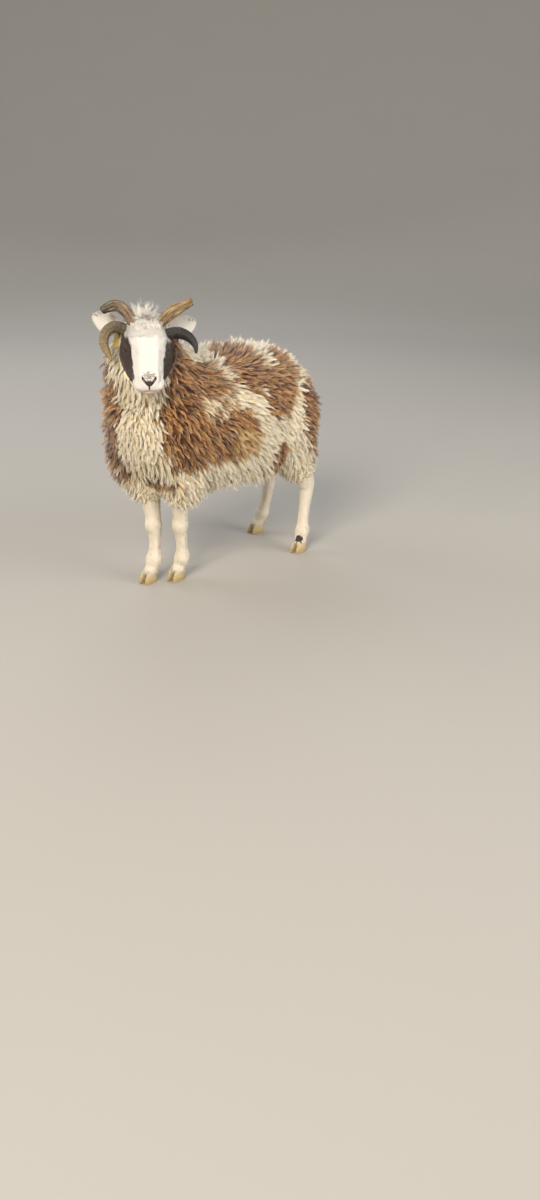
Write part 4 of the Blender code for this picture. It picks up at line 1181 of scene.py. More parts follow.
@dataclass(frozen=True)
class Ear:
    """A leaf-shaped ear with its cup to the front."""

    name: str
    root: tuple
    tip: tuple
    length: float = 0.112
    half_width: float = 0.026
    thickness: float = 0.0035

    @property
    def axes(self) -> tuple:
        """Along the ear, across its leaf, and out of its cup."""
        outward = 1 if self.root[1] > 0 else -1
        along = unit(HEAD.direction(outward * self.tip[0], self.tip[1], self.tip[2]))
        broad = unit(UP - along[2] * along)
        front = np.cross(along, broad)
        return along, broad, front if front @ HEAD.facing > 0 else -front

    def share_at(self, places: Array, reach: float) -> Array:
        """How far along the ear places are, as a share of its length, or -1 further than a reach from it."""
        away = places - HEAD.place(self.root)
        share = away @ self.axes[0] / self.length
        off = np.linalg.norm(away - (share * self.length)[:, None] * self.axes[0], axis=1)
        return np.where((off < reach) & (share < 1.2), share, -1.0)

    def width_at(self, share: Array) -> Array:
        """Half the leaf's width."""
        return np.maximum(self.half_width * (0.42 + 1.9 * share - 2.15 * share**3) + 0.001, 0.0035)

    def build(self) -> bpy.types.Object:
        """The ear as a thin curled leaf with rounded rims."""
        along, broad, front = self.axes
        root = HEAD.place(self.root)
        turns = np.linspace(-1, 1, 26)
        rings = []
        for share in np.linspace(0, 1, 72):
            width = self.width_at(share) * (1.0 if share < 0.96 else 1 - 0.6 * ((share - 0.96) / 0.04) ** 2)
            cup = 0.55 * width * (1 - 0.4 * share)
            thick = self.thickness * 0.85 + 0.006 * (1 - share) ** 3
            wavy = 0.0012 * math.sin(9 * share)
            centre = root + along * self.length * share
            rim = np.sqrt(np.maximum(1 - turns**4, 0.0))
            inner, outer = (
                [
                    centre + broad * width * t + front * (cup * t**2 + wavy * t + face * thick * r)
                    for t, r in zip(turns, rim)
                ]
                for face in (0.5, -0.5)
            )
            rings.append(inner + outer[-2:0:-1])
        return mesh_object(self.name, *loft(np.array(rings)))


EARS = (
    Ear("ear_left", (0.022, 0.050, -0.066), (0.93, 0.18, -0.32)),
    Ear("ear_right", (0.022, -0.050, -0.067), (0.85, 0.35, -0.40)),
)


class Skin:
    """One seamless hide over body, legs, head and ears, under the fleece and bare on face, ears and legs."""

    finish = HairCoat("short_hair_on_hide", roughness=0.75, sheen=0.15)

    def build(self) -> bpy.types.Object:
        """Makes the hide in the sheep's own frame and stores its markings."""
        body = Body()
        self.obj = body.form("skin", 0.0, body.voxel)
        parts = [leg.build() for leg in LEGS] + [Face().build()] + [ear.build() for ear in EARS]
        boolean(self.obj, "UNION", parts)
        self.obj.data.shade_smooth()
        points = points_of(self.obj)
        marks, tints = MARKINGS.hide(points, points_of(self.obj, "normal"))
        store(self.obj, "marks", marks)
        store(self.obj, "tints", tints)
        return self.obj

    def dress(self, hair: bpy.types.Material) -> None:
        """Gives the hide its material and its place."""
        flesh = [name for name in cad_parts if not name.startswith(("eye", "horn", "hoof", "ear_tag"))]
        finished(self.obj, hair, tuple(flesh))


# Horns, hooves, eyes and tag


@dataclass(frozen=True)
class Horn:
    """One horn: its line as steps (outward, up, forward) from its root on the head, with radii along it."""

    name: str
    slot: str
    root: tuple
    steps: tuple
    radii: tuple
    flatness: float
    ridges: int
    finish: Keratin
    ringed: float = 0.075
    split: float = 0.0
    sides: int = 72
    rings: int = 170

    def build(self) -> bpy.types.Object:
        """The horn with its growth rings, crowded at the root and fainter toward the tip."""
        chance = np.random.default_rng(len(self.steps) * 10 + self.ridges)
        outward = 1 if self.root[1] > 0 else -1
        root = HEAD.place(self.root)
        line = [root + HEAD.direction(outward * out, up, forward) for out, up, forward in self.steps]
        share = np.linspace(0, 1, self.rings)
        centres = curve(line, share)
        radius = curve(np.array(self.radii)[:, None], share)[:, 0]
        along = unit(np.gradient(centres, axis=0))
        across = unit(HEAD.axes[2] - (along @ HEAD.axes[2])[:, None] * along)
        other = np.cross(along, across)
        uneven = chance.uniform(-0.3, 0.3, self.ridges) / self.ridges
        bounds = np.sort(np.linspace(0, 1, self.ridges) ** 0.85 + uneven)
        phase = np.interp(share, bounds, np.arange(self.ridges)) % 1.0
        ridge = np.abs(np.sin(math.pi * phase)) ** 0.6
        strength = (self.ringed * (1 - 0.6 * share)) * (1 + 0.5 * np.sin(17 * share + self.ridges))
        end = np.sqrt(np.maximum(1 - (np.maximum(share - 0.94, 0) / 0.0602) ** 2, 0.0004))
        wide = radius * (1 + strength * (ridge - 0.55)) * end
        rings = ovals(centres, across, other, wide, wide * self.flatness, self.sides, 2.15)
        points, triangles = loft(rings)
        angle = np.tile(2 * math.pi * np.arange(self.sides) / self.sides, self.rings)
        keel = 1 + 0.045 * np.cos(2 * angle + 5 * np.repeat(share, self.sides)) + 0.02 * np.cos(5 * angle + 1)
        worn = 1 + 0.03 * ripple(points[:-2], 0.012, self.ridges)
        height = 0.022 * np.repeat(share, self.sides)
        round_at = np.stack((0.02 * np.cos(angle), 0.02 * np.sin(angle), height), 1)
        flutes = ripple(round_at, 0.010, self.ridges)
        cracks = smooth_step(0.25, 0.6, ripple(round_at, 0.013, self.ridges + 1)) * self.split
        spine = np.repeat(centres, self.sides, 0)
        grain = keel * worn * (1 + 0.10 * self.split * flutes - 0.13 * cracks)
        points[:-2] = spine + (points[:-2] - spine) * grain[:, None]
        obj = mesh_object(self.name + "_grown", points, triangles)
        grown = np.zeros((len(points), 3))
        grown[:-2, 0] = np.repeat(share, self.sides)
        grown[:-2, 1] = np.sin(angle)
        cracked = 0.7 * self.split
        # The third value is low in the grooves between the rings and in the cracks, where the material paints shade.
        grown[:-2, 2] = np.repeat(ridge, self.sides) * (1 - cracked) + cracked * (1 - cracks)
        grown[-1] = (1.0, 0.0, 0.5)
        store(obj, "grown", grown)
        return obj

    def dress(self, obj: bpy.types.Object) -> None:
        """Gives the horn its material and its place."""
        finished(obj, self.finish.make(), (self.name,))


HORNS = (
    Horn(
        "horn_upper_left", "horn", (0.034, 0.038, -0.012),
        ((0.000, 0.000, 0.000), (0.034, 0.028, -0.008), (0.066, 0.042, -0.022), (0.100, 0.058, -0.034)),
        (0.0200, 0.0185, 0.0170, 0.0135), 0.80, 14,
        Keratin(
            "horn_tan", 0.6, root="7E6244", middle="947A54", tip="8C6A3C",
            streak_and_groove_shade="2E2216", worn="D8C49C", streaks=0.9, fibre=2.4, length=0.6,
        ),
        0.02, 1.0,
    ),
    Horn(
        "horn_upper_right", "horn", (0.036, -0.033, -0.012),
        ((0.000, 0.000, 0.000), (0.022, 0.036, -0.004), (0.050, 0.050, -0.016), (0.089, 0.034, -0.022)),
        (0.0200, 0.0190, 0.0170, 0.0110), 0.80, 15,
        Keratin(
            "horn_grey_brown", 0.6, root="93765A", middle="7E6C56", tip="3A322B",
            streak_and_groove_shade="3A3028", worn="BCAC90", streaks=0.8, fibre=2.4, length=0.6,
        ),
        0.03, 0.9,
    ),
    Horn(
        "horn_side_left", "horn_black", (0.053, 0.055, -0.039),
        (
            (0.000, 0.000, 0.000), (0.034, 0.006, 0.000), (0.066, -0.004, 0.006), (0.084, -0.026, 0.014),
            (0.086, -0.050, 0.024),
        ),
        (0.0185, 0.0175, 0.0150, 0.0105, 0.0040), 0.85, 15,
        Keratin(
            "horn_black", 0.33, root="2A2526", middle="211E20", tip="3A3432",
            streak_and_groove_shade="0E0C0D", worn="4C4848", streaks=0.6,
        ),
        0.045, 0.25,
    ),
    Horn(
        "horn_side_right", "horn", (0.038, -0.054, -0.038),
        (
            (0.000, 0.000, 0.000), (0.030, 0.010, 0.000), (0.056, -0.003, 0.006), (0.066, -0.030, 0.016),
            (0.057, -0.058, 0.028), (0.046, -0.078, 0.038),
        ),
        (0.0180, 0.0180, 0.0170, 0.0145, 0.0100, 0.0040), 0.85, 16,
        Keratin(
            "horn_olive", 0.55, root="4C443C", middle="7C6E50", tip="B09A6C",
            streak_and_groove_shade="3A3228", worn="A39674", streaks=0.6,
        ),
        0.05, 0.45,
    ),
)


@dataclass(frozen=True)
class Claw:
    """One half of a cloven hoof, with a pointed toe and a flat sole on the floor."""

    leg: Leg
    outward: int
    length: float = 0.062
    width: float = 0.023
    gap: float = 0.0003
    rings_per_metre: float = 1400.0
    levels: tuple = ((0.0, 0.97, 0.96, 0.98), (0.014, 0.90, 0.97, 1.0), (1.0, 0.58, 0.86, 0.92))

    @property
    def name(self) -> str:
        """The CAD node's name."""
        return self.leg.name.replace("leg", "hoof") + "_claw_" + ("left" if self.outward > 0 else "right")

    def build(self) -> bpy.types.Object:
        """The claw's wall, with faint growth rings and a rounded edge at the floor."""
        forward = self.leg.forward
        left = np.cross(UP, forward)
        rows = np.array(self.levels)
        rows[-1, 0] = CORONET
        heights = np.concatenate(([0.0, 0.0006, 0.002], np.linspace(0.004, CORONET, 16)))
        read = np.stack([np.interp(heights, rows[:, 0], rows[:, i]) for i in (1, 2, 3)], 1)
        angle = 2 * math.pi * np.arange(44) / 44
        c, s = np.cos(angle), np.sign(np.sin(angle)) * np.abs(np.sin(angle)) ** 0.85
        rings = []
        for height, (reach, wide, heel) in zip(heights, read):
            growth = 1 + 0.012 * math.sin(height * self.rings_per_metre) - (0.03 if height == 0 else 0.0)
            run = c * self.length * np.where(c > 0, 0.62 * reach, 0.38 * heel) * growth
            side = s * 0.5 * self.width * wide * (1 - 0.30 * np.maximum(c, 0)) * growth
            across = self.outward * (0.5 * self.width + self.gap) + side
            across = self.outward * np.maximum(across * self.outward, self.gap)
            rings.append(self.leg.foot + np.outer(run, forward) + np.outer(across, left) + UP * height)
        points, triangles = loft(np.array(rings))
        obj = mesh_object(self.name + "_wall", points, triangles)
        rings = 0.5 + 0.5 * np.sin(points[:, 2] * self.rings_per_metre)
        # The third value is low between the growth rings, where the material paints shade.
        store(obj, "grown", np.stack((points[:, 2] / CORONET, points @ left * 60, rings), 1))
        return obj


@dataclass(frozen=True)
class Dewclaws:
    """The pair of small blunt claws behind each fetlock."""

    radius: float = 0.0060
    length: float = 0.010

    def build(self) -> bpy.types.Object:
        """All eight as one piece."""
        parts, start = [], 0
        for leg in LEGS:
            fetlock, left = np.array(leg.sections[-3].centre), np.cross(UP, leg.forward)
            for side in (1, -1):
                root = fetlock - 0.012 * leg.forward + 0.012 * side * left + 0.004 * UP
                tip = root - (self.length + 0.006) * leg.forward + 0.002 * side * left - self.length * UP
                share = np.linspace(0, 1, 14)
                centres = root + share[:, None] * (tip - root) - 0.004 * (share**2)[:, None] * UP
                along = unit(np.gradient(centres, axis=0))
                across = unit(np.cross(along, UP))
                radius = self.radius * np.sqrt(np.maximum(1 - share**3, 0.02))
                up = np.cross(across, along)
                points, triangles = loft(ovals(centres, across, up, radius, 0.8 * radius, 20, 2.2))
                parts.append((points, turned_out(points, triangles) + start))
                start += len(points)
        points, triangles = (np.concatenate(part) for part in zip(*parts))
        obj = mesh_object("dewclaws", points, triangles)
        rings = 0.5 + 0.5 * np.sin(points[:, 2] * Claw.rings_per_metre)
        # The third value is low between the growth rings, where the material paints shade.
        store(obj, "grown", np.stack((points[:, 2] * 12, points[:, 0] * 60, rings), 1))
        return obj


@dataclass(frozen=True)
class Eye:
    """A wet eyeball with a bulging cornea, fitted between the lids."""

    side: int
    cornea: float = 0.0009

    def build(self) -> bpy.types.Object:
        """The eyeball, with each point's place in the eye's own frame stored on it."""
        obj = Face().ball(self.side, HEAD.eye_radius)
        obj.name = "eyeball_left" if self.side > 0 else "eyeball_right"
        centre, gaze, line, height = HEAD.eye_frame(self.side)
        away = points_of(obj) - centre
        front = smooth_step(0.60, 0.95, away @ gaze / HEAD.eye_radius)
        set_points(obj, centre + away * (1 + self.cornea / HEAD.eye_radius * front)[:, None])
        store(obj, "in_eye", np.stack((away @ line, away @ height, away @ gaze), 1))
        obj.data.shade_smooth()
        return obj


@dataclass(frozen=True)
class EarTag:
    """A blank plastic ear tag: a flag that narrows upward, hung under a round stud."""

    share: float = 0.32
    flag: tuple = (0.012, 0.030, 0.030, 0.0022)
    stud: tuple = (0.0055, 0.012)

    def build(self) -> bpy.types.Object:
        """The flag with rounded corners, joined with its stud."""
        ear = EARS[1]
        along = ear.axes[0]
        top = HEAD.place(ear.root) + along * self.share * ear.length + HEAD.facing * 0.012
        top = top - UP * (ear.half_width - 0.002)
        front = unit(HEAD.facing + 0.35 * HEAD.left)
        side = np.cross(UP, front)
        narrow, broad, drop, thick = self.flag
        outline = ((-narrow / 2, 0.006), (narrow / 2, 0.006), (broad / 2, -drop), (-broad / 2, -drop - 0.004))
        corners = np.array([top + side * x + UP * y for x, y in outline])
        rings = np.stack([corners + front * depth for depth in (-thick / 2, thick / 2)])
        flag = mesh_object("ear_tag_flag", *loft(rings))
        self.round_off(flag, 0.0009)
        deselect_all()
        turn = Vector(UP).rotation_difference(Vector(front)).to_euler()
        radius, length = self.stud
        bpy.ops.mesh.primitive_cylinder_add(
            vertices=48, radius=radius, depth=length, location=top, rotation=turn
        )
        bpy.ops.object.transform_apply(location=True, rotation=True, scale=True)
        stud = bpy.context.object
        self.round_off(stud, 0.0008)
        return boolean(flag, "UNION", [stud])

    def round_off(self, obj: bpy.types.Object, width: float) -> None:
        """Rounds the moulding's edges."""
        modified(obj, "BEVEL", width=width, segments=3, limit_method="ANGLE")
        bpy.ops.object.shade_smooth_by_angle(angle=math.radians(50))


# The coat


@dataclass(frozen=True)
class Growth:
    """How the locks of one stretch of the coat grow. Lengths in metres, the rest are shares."""

    spacing: float
    length: float
    strand: float
    spread: float
    crimp: float
    lift: float = 1.0
    stray: float = 0.12
    strands: int = 8
    core: float = 2.4
    soft: float = 1.7
    flat: float = 0.5


class Stretch(Enum):
    """The stretches of coat, each with its growth."""

    BACK = Growth(0.0088, 0.028, 0.0023, 0.0058, 0.0026, lift=1.05, stray=0.35)
    SIDE = Growth(0.0090, 0.028, 0.0023, 0.0058, 0.0026, stray=0.20)
    NECK = Growth(0.0086, 0.030, 0.0022, 0.0056, 0.0026, stray=0.20)
    BELLY = Growth(0.0100, 0.032, 0.0025, 0.0062, 0.0026, stray=0.20)
    THIGH = Growth(0.0088, 0.026, 0.0022, 0.0056, 0.0022, stray=0.20)
    HEM = Growth(0.0082, 0.024, 0.0020, 0.0050, 0.0020, stray=0.25)
    TAIL = Growth(0.0084, 0.034, 0.0022, 0.0054, 0.0026, stray=0.20)


LOCK_RUN = np.array((0.0, 0.30, 0.55, 0.80, 1.0))
LOCK_RISE = np.array((0.45, 0.68, 0.84, 0.95, 1.01))
HAIR_RUN = np.array((0.0, 0.5, 1.0))
HAIR_RISE = np.array((-0.35, 0.75, 1.0))


@dataclass
class Roots:
    """Where locks grow: place, normal, depth of wool, the way the coat lies, length, growth and colour."""

    place: Array
    normal: Array
    depth: Array
    lie: Array
    length: Array
    growth: Array
    brown: Array
    ochre: Array

    def some(self, chosen: Array) -> "Roots":
        """A few of the roots."""
        return Roots(*(getattr(self, key)[chosen] for key in self.__dataclass_fields__))


@dataclass
class Strands:
    """Strands as arrays, with the points in each and how far along its strand each point is."""

    points: Array
    triangles: Array
    normals: Array
    along: Array
    size: int


def strands_along(
    paths: Array, outward: Array, run: Array, growth: Array, chance: np.random.Generator
) -> Strands:
    """Grows each lock's strands round its line: three-sided, tapering, crimped and gathered at the tip.

    A lock's first strand is its broad core. The strands are shaded mostly by the lock's outward direction, as
    wool is, which passes light from fibre to fibre.

    Args:
        paths: Locks by stations by three numbers.
        outward: The outward direction at each station.
        run: The stations' shares of the lock's length.
        growth: One Growth for each lock.
        chance: The source of unevenness.

    Returns:
        The strands.
    """
    locks, strands = len(growth), growth[0].strands
    wide, spread, crimp, stray, core, soft, flat = (
        np.array([getattr(g, name) for g in growth])[:, None, None]
        for name in ("strand", "spread", "crimp", "stray", "core", "soft", "flat")
    )
    first = (np.arange(strands) == 0)[None, :, None] * (core > 1)
    reach = np.where(first, 0.86, chance.uniform(0.70, 1.0, (locks, strands, 1)))
    share = reach * run
    index = np.clip(np.searchsorted(run, share, side="right") - 1, 0, len(run) - 2)
    blend = ((share - run[index]) / (run[index + 1] - run[index]))[..., None]
    lock = np.arange(locks)[:, None, None]
    line = paths[lock, index] * (1 - blend) + paths[lock, index + 1] * blend
    up = outward[lock, index] * (1 - blend) + outward[lock, index + 1] * blend
    shaded = up * soft[..., None] * smooth_step(-0.8, -0.1, up[..., 2:])
    tangent = unit(np.gradient(line, axis=2))
    side = unit(np.cross(tangent, up))
    up = np.cross(side, tangent)
    turn = chance.uniform(0, 2 * math.pi, (locks, strands, 1)) + share * chance.normal(0, 1.2, (locks, 1, 1))
    radius = np.sqrt(chance.random((locks, strands, 1))) * spread * np.where(first, 0.15, 1.0)
    gather = radius * (0.9 * (1 - share) ** 0.6 + 0.25)
    flying = (chance.random((locks, strands, 1)) < stray) * share**2 * 1.2 * spread * ~first
    phase = chance.uniform(0, 2 * math.pi, (locks, 1, 1)) + chance.normal(0, 0.8, (locks, strands, 1))
    waves = 2 * math.pi * chance.uniform(0.8, 1.3, (locks, 1, 1)) * share
    sway = crimp * share**0.6 * np.sin(waves + phase)
    line = line + side * (gather * np.cos(turn) + sway)[..., None]
    high = gather * 0.6 * np.sin(turn) + flying + 0.6 * sway * np.cos(phase) - first * 0.7 * spread * share
    line = line + up * high[..., None]
    taper = np.interp(run, (0.0, 0.3, 0.55, 0.8, 1.0), (0.8, 1.0, 0.85, 0.55, 0.0))
    width = 0.5 * wide * chance.uniform(0.75, 1.25, (locks, strands, 1)) * taper * np.where(first, core, 1.0)
    roll = chance.uniform(0, 2 * math.pi, (locks, strands, 1))
    corners, normals = [], []
    for i in range(3):
        angle = (roll + 2 * math.pi * i / 3)[..., None]
        out = side * np.cos(angle) + flat[..., None] * up * np.sin(angle)
        corners.append(line + out * width[..., None])
        normals.append(unit(shaded + out))
    rings = np.stack(corners, 3)[:, :, :-1].reshape(locks, strands, -1, 3)
    facing = np.stack(normals, 3)[:, :, :-1].reshape(locks, strands, -1, 3)
    points = np.concatenate((rings, line[:, :, -1:]), 2).reshape(-1, 3)
    shading = np.concatenate((facing, unit(shaded + up)[:, :, -1:]), 2).reshape(-1, 3)
    rows = len(run) - 1
    size = 3 * rows + 1
    one = [(2, 1, 0)]
    for i in range(3):
        j = (i + 1) % 3
        for low in range(0, 3 * (rows - 1), 3):
            one += [(low + i, low + j, low + j + 3), (low + i, low + j + 3, low + i + 3)]
        one.append((size - 4 + i, size - 4 + j, size - 1))
    start = np.arange(locks * strands)[:, None, None] * size
    along = np.tile(np.append(np.repeat(run[:-1], 3), 1.0), locks * strands)
    return Strands(points, (np.array(one)[None] + start).reshape(-1, 3), shading, along, size)


def lay_map(obj: bpy.types.Object, roots: Array, axis: tuple, strands: int, size: int, along: Array) -> None:
    """Lays each lock as a small patch at its root's place on the hide, which is unrolled from round a line.

    Args:
        obj: The piece of coat.
        roots: The locks' roots.
        axis: A point on the line and the line's direction.
        strands: Strands in a lock.
        size: Points in a strand.
        along: How far along its strand each point is.
    """
    away = roots - np.array(axis[0])
    line = unit(np.array(axis[1], float))
    run = away @ line
    flat = away - run[:, None] * line
    middle = unit(flat.mean(0))
    angle = np.arctan2(flat @ np.cross(line, middle), flat @ middle)
    places = np.stack([(v - v.min()) / max(np.ptp(v), 1e-6) * 0.97 + 0.012 for v in (angle, run)], 1)
    of_strand = np.arange(strands)[:, None] + np.arange(size)[None] % 3 / 3
    across = np.tile((of_strand / strands).ravel(), len(roots))
    at = np.repeat(places, strands * size, 0) + TUFT_PATCH * np.stack((across, along), 1)
    loops = np.empty(len(obj.data.loops), np.int32)
    obj.data.loops.foreach_get("vertex_index", loops)
    obj.data.uv_layers.new(name="OFBake").uv.foreach_set("vector", at[loops].astype(np.float32).ravel())


TUFT_PATCH = 0.003  # side of a tuft's patch on the map
HEAD_LINE = (HEAD.place((0.10, 0, -0.05)), HEAD.axes[0])


@dataclass
class Hide:
    """The bare hide as the coat's ground: picks places on it and follows its surface."""

    skin: bpy.types.Object
    tree: BVHTree = field(init=False)

    def __post_init__(self) -> None:
        """Reads the hide's triangles."""
        self.tree = BVHTree.FromObject(self.skin, bpy.context.evaluated_depsgraph_get())
        points, triangles = points_of(self.skin), triangles_of(self.skin)
        self.corners = points[triangles]
        cross = np.cross(self.corners[:, 1] - self.corners[:, 0], self.corners[:, 2] - self.corners[:, 0])
        self.area = np.linalg.norm(cross, axis=1) / 2
        self.normal = unit(cross)
        self.middle = self.corners.mean(1)

    def sample(self, weight: Array, count: int, chance: np.random.Generator) -> tuple[Array, Array]:
        """Random places on the hide and their normals, by area and a weight for each triangle."""
        odds = self.area * weight
        chosen = chance.choice(len(odds), count, p=odds / odds.sum())
        r, t = np.sqrt(chance.random(count))[:, None], chance.random(count)[:, None]
        a, b, c = (self.corners[chosen, i] for i in range(3))
        return (1 - r) * a + r * (1 - t) * b + r * t * c, self.normal[chosen]

    def follow(self, roots: Roots, lie: Array, run: Array, rise: Array, lift: Array) -> tuple[Array, Array]:
        """Lines that leave the hide and lie along it.

        Args:
            roots: Where they start.
            lie: The way each lies.
            run: The stations' shares of the length.
            rise: Their heights as shares of the wool's depth.
            lift: What each line's height is multiplied by.

        Returns:
            The points and the outward directions at each station.
        """
        points = np.empty((len(lie), len(run), 3))
        outward = np.empty_like(points)
        for i, (share, height) in enumerate(zip(run, rise)):
            ahead = roots.place + lie * (roots.length * share**1.25)[:, None]
            high = roots.depth * (height * lift if height > 0 else height)
            for j, place in enumerate(ahead):
                ground, normal, _, _ = self.tree.find_nearest(Vector(place))
                tilt = unit(np.array(normal) + roots.normal[j])
                tilt = tilt if tilt @ roots.normal[j] > 0.3 else roots.normal[j]
                outward[j, i] = tilt
                points[j, i] = np.array(ground) + tilt * high[j]
        return points, outward


@dataclass
class Fleece:
    """The wool: locks of fine, crimped, tapering strands that gather toward their tips."""

    hide: Hide
    seed: int = 11
    most_wool: float = 0.080
    least_wool: float = 0.012
    between_legs: float = 0.032
    legs_top: float = 0.43
    hem: float = 0.34
    most_under_hem: float = 0.025
    longest_step: float = 0.026
    hang: float = 0.020
    backward: tuple = (  # places along the body, and how far back the coat lies there for each step down
        (-0.36, -0.28, -0.15, 0.0, 0.20, 0.34, 0.40),
        (-0.05, 0.30, 0.70, 0.90, 0.75, 0.45, 0.10),
    )
    envelope: BVHTree = field(init=False)

    def __post_init__(self) -> None:
        """Reads the fleece's outer form, for casting rays at it."""
        outer = Body().form("outer", 1.0, 0.009)
        bpy.context.view_layer.update()
        self.envelope = BVHTree.FromObject(outer, bpy.context.evaluated_depsgraph_get())
        bpy.data.objects.remove(outer)

    def stretch_at(self, place: Array, normal: Array) -> Stretch:
        """The stretch of coat that a point of the hide lies in."""
        x, y, z = place
        if abs(x) < 0.050 and y > 0.350:
            return Stretch.TAIL
        if y > 0.10 and z < 0.46:
            return Stretch.THIGH
        if z < 0.365 and y < -0.12:
            return Stretch.HEM
        if z > 0.62 and y < -0.16:
            return Stretch.NECK
        if normal[2] < -0.6:
            return Stretch.BELLY
        return Stretch.BACK if normal[2] > 0.55 else Stretch.SIDE

    def lie_at(self, places: Array, normals: Array) -> Array:
        """The way the coat lies at each place: down the chest, and more and more backward along the side."""
        x, y, z = places.T
        back = np.interp(y, *self.backward)
        back = back + 0.45 * smooth_step(0.60, 0.74, z) * smooth_step(-0.34, -0.26, y)
        back = np.where((z < 0.46) & (y > 0.10), 0.35 * back + 0.15, back)
        aside = np.where(y < -0.20, 0.55 * normals[:, 0], 0.20 * normals[:, 0])
        lie = np.stack((aside, back, -np.ones(len(x))), 1)
        lie += 0.25 * ripple(places, 0.09, 60)[:, None] * np.cross(normals, lie)
        return unit(lie - (lie * normals).sum(1)[:, None] * normals)

    def is_bare(self, places: Array) -> Array:
        """Whether places on the hide are on the head, an ear or the lower leg, with short hair only."""
        bare = Face().covers(*HEAD.coordinates(places).T)
        for ear in EARS:
            bare |= ear.share_at(places, 0.040) > 0.10
        return bare | (places[:, 2] < np.where(places[:, 1] > 0, 0.272, 0.285))

    def spread(self) -> Roots:
        """Picks evenly spaced roots over the hide."""
        chance = np.random.default_rng(self.seed)
        cell = max(stretch.value.spacing for stretch in Stretch)
        taken: dict = {}
        kept = []
        woolly = ~self.is_bare(self.hide.middle)
        for place, normal in zip(*self.hide.sample(woolly, 160000, chance)):
            growth = self.stretch_at(place, normal).value
            i, j, k = (place // cell).astype(int)
            cells = ((i + a, j + b, k + c) for a in (-1, 0, 1) for b in (-1, 0, 1) for c in (-1, 0, 1))
            near = (other for key in cells for other in taken.get(key, ()))
            if any(((place - other) ** 2).sum() < growth.spacing**2 for other in near):
                continue
            taken.setdefault((i, j, k), []).append(place)
            reach = self.envelope.ray_cast(Vector(place + normal * 0.001), Vector(normal))[3]
            if reach is not None and reach < 2.2 * self.most_wool:
                inner = place[2] < self.legs_top and (reach > self.most_wool or place[0] * normal[0] < 0)
                most = self.between_legs if inner else self.most_wool
                kept.append((place, normal, min(max(reach, self.least_wool), most), growth))
        place, normal, depth = (np.array([row[i] for row in kept]) for i in range(3))
        growth = np.array([row[3] for row in kept], object)
        sag = smooth_step(-0.1, -0.6, normal[:, 2]) * np.exp(-(((place[:, 1] - 0.05) / 0.10) ** 2))
        depth = depth * (1 + 0.32 * sag)
        length = np.array([g.length for g in growth]) * np.clip(0.35 + 0.65 * depth / 0.055, 0.3, 1.1)
        length *= chance.uniform(0.8, 1.2, len(place))
        lie = self.lie_at(place, normal)
        brown, ochre = MARKINGS.coat(place + 0.7 * depth[:, None] * normal + 0.6 * length[:, None] * lie)
        brown = smooth_step(0.25, 0.75, brown + chance.uniform(-0.28, 0.28, len(brown)))
        return Roots(place, normal, depth, lie, length, growth, brown, ochre)

    def piece(self, name: str, roots: Roots, axis: tuple) -> bpy.types.Object:
        """Grows one piece of the fleece.

        Args:
            name: The piece's name.
            roots: Its locks.
            axis: A point on the line that its map is unrolled from, and the line's direction.

        Returns:
            The piece, with its tones and its map.
        """
        chance = np.random.default_rng(sum(map(ord, name)))
        count = len(roots.place)
        swerve = chance.normal(0, 0.20, (count, 1)) * np.cross(roots.normal, roots.lie)
        lie = unit(roots.lie + swerve)
        upright = smooth_step(0.72, 0.98, roots.normal[:, 2])
        lift = np.array([g.lift for g in roots.growth]) * chance.uniform(0.82, 1.07, count)
        lift += (chance.random(count) < 0.06) * 0.15 + 0.16 * upright * chance.random(count)
        roots.length *= 1 - 0.35 * upright
        paths, outward = self.hide.follow(roots, lie, LOCK_RUN, LOCK_RISE, lift)
        hang = smooth_step(0.1, -0.7, roots.normal[:, 2])[:, None]
        high = (roots.depth * lift)[:, None, None]
        free = roots.place[:, None] + roots.normal[:, None] * high * LOCK_RISE[:, None]
        free = free + lie[:, None] * roots.length[:, None, None] * LOCK_RUN[:, None]
        free = free - UP * self.hang * (hang * LOCK_RUN)[..., None]
        mix = (0.55 * hang)[..., None]
        paths = (1 - mix) * paths + mix * free
        sound = np.linalg.norm(np.diff(paths, axis=1), axis=2).max(1) < self.longest_step
        away = np.array([self.hide.tree.find_nearest(Vector(tip))[3] for tip in paths[:, -1]])
        sound &= away < 1.25 * roots.depth + 0.020
        away = np.array([self.hide.tree.find_nearest(Vector(base))[3] for base in paths[:, 0]])
        sound &= (away < self.most_under_hem) | (paths[:, 0, 2] > self.hem)
        roots, paths, outward, count = roots.some(sound), paths[sound], outward[sound], int(sound.sum())
        grown = strands_along(paths, outward, LOCK_RUN, roots.growth, chance)
        obj = mesh_object(name, grown.points, grown.triangles, grown.normals)
        strands = roots.growth[0].strands
        tone = np.repeat(chance.uniform(0.2, 0.8, count), strands) + chance.normal(0, 0.24, count * strands)
        tone = np.repeat(np.clip(tone, 0, 1), grown.size)
        brown = np.repeat(roots.brown, strands) + chance.normal(0, 0.16, count * strands)
        brown = np.repeat(np.clip(brown, 0, 1), grown.size)
        # The third value, along the strand, lets the material paint shade at the roots and lighten the tips.
        store(obj, "lock", np.stack((brown, tone, grown.along), 1))
        store(obj, "ochre", np.repeat(roots.ochre, strands * grown.size))
        lay_map(obj, roots.place, axis, strands, grown.size, grown.along)
        return obj


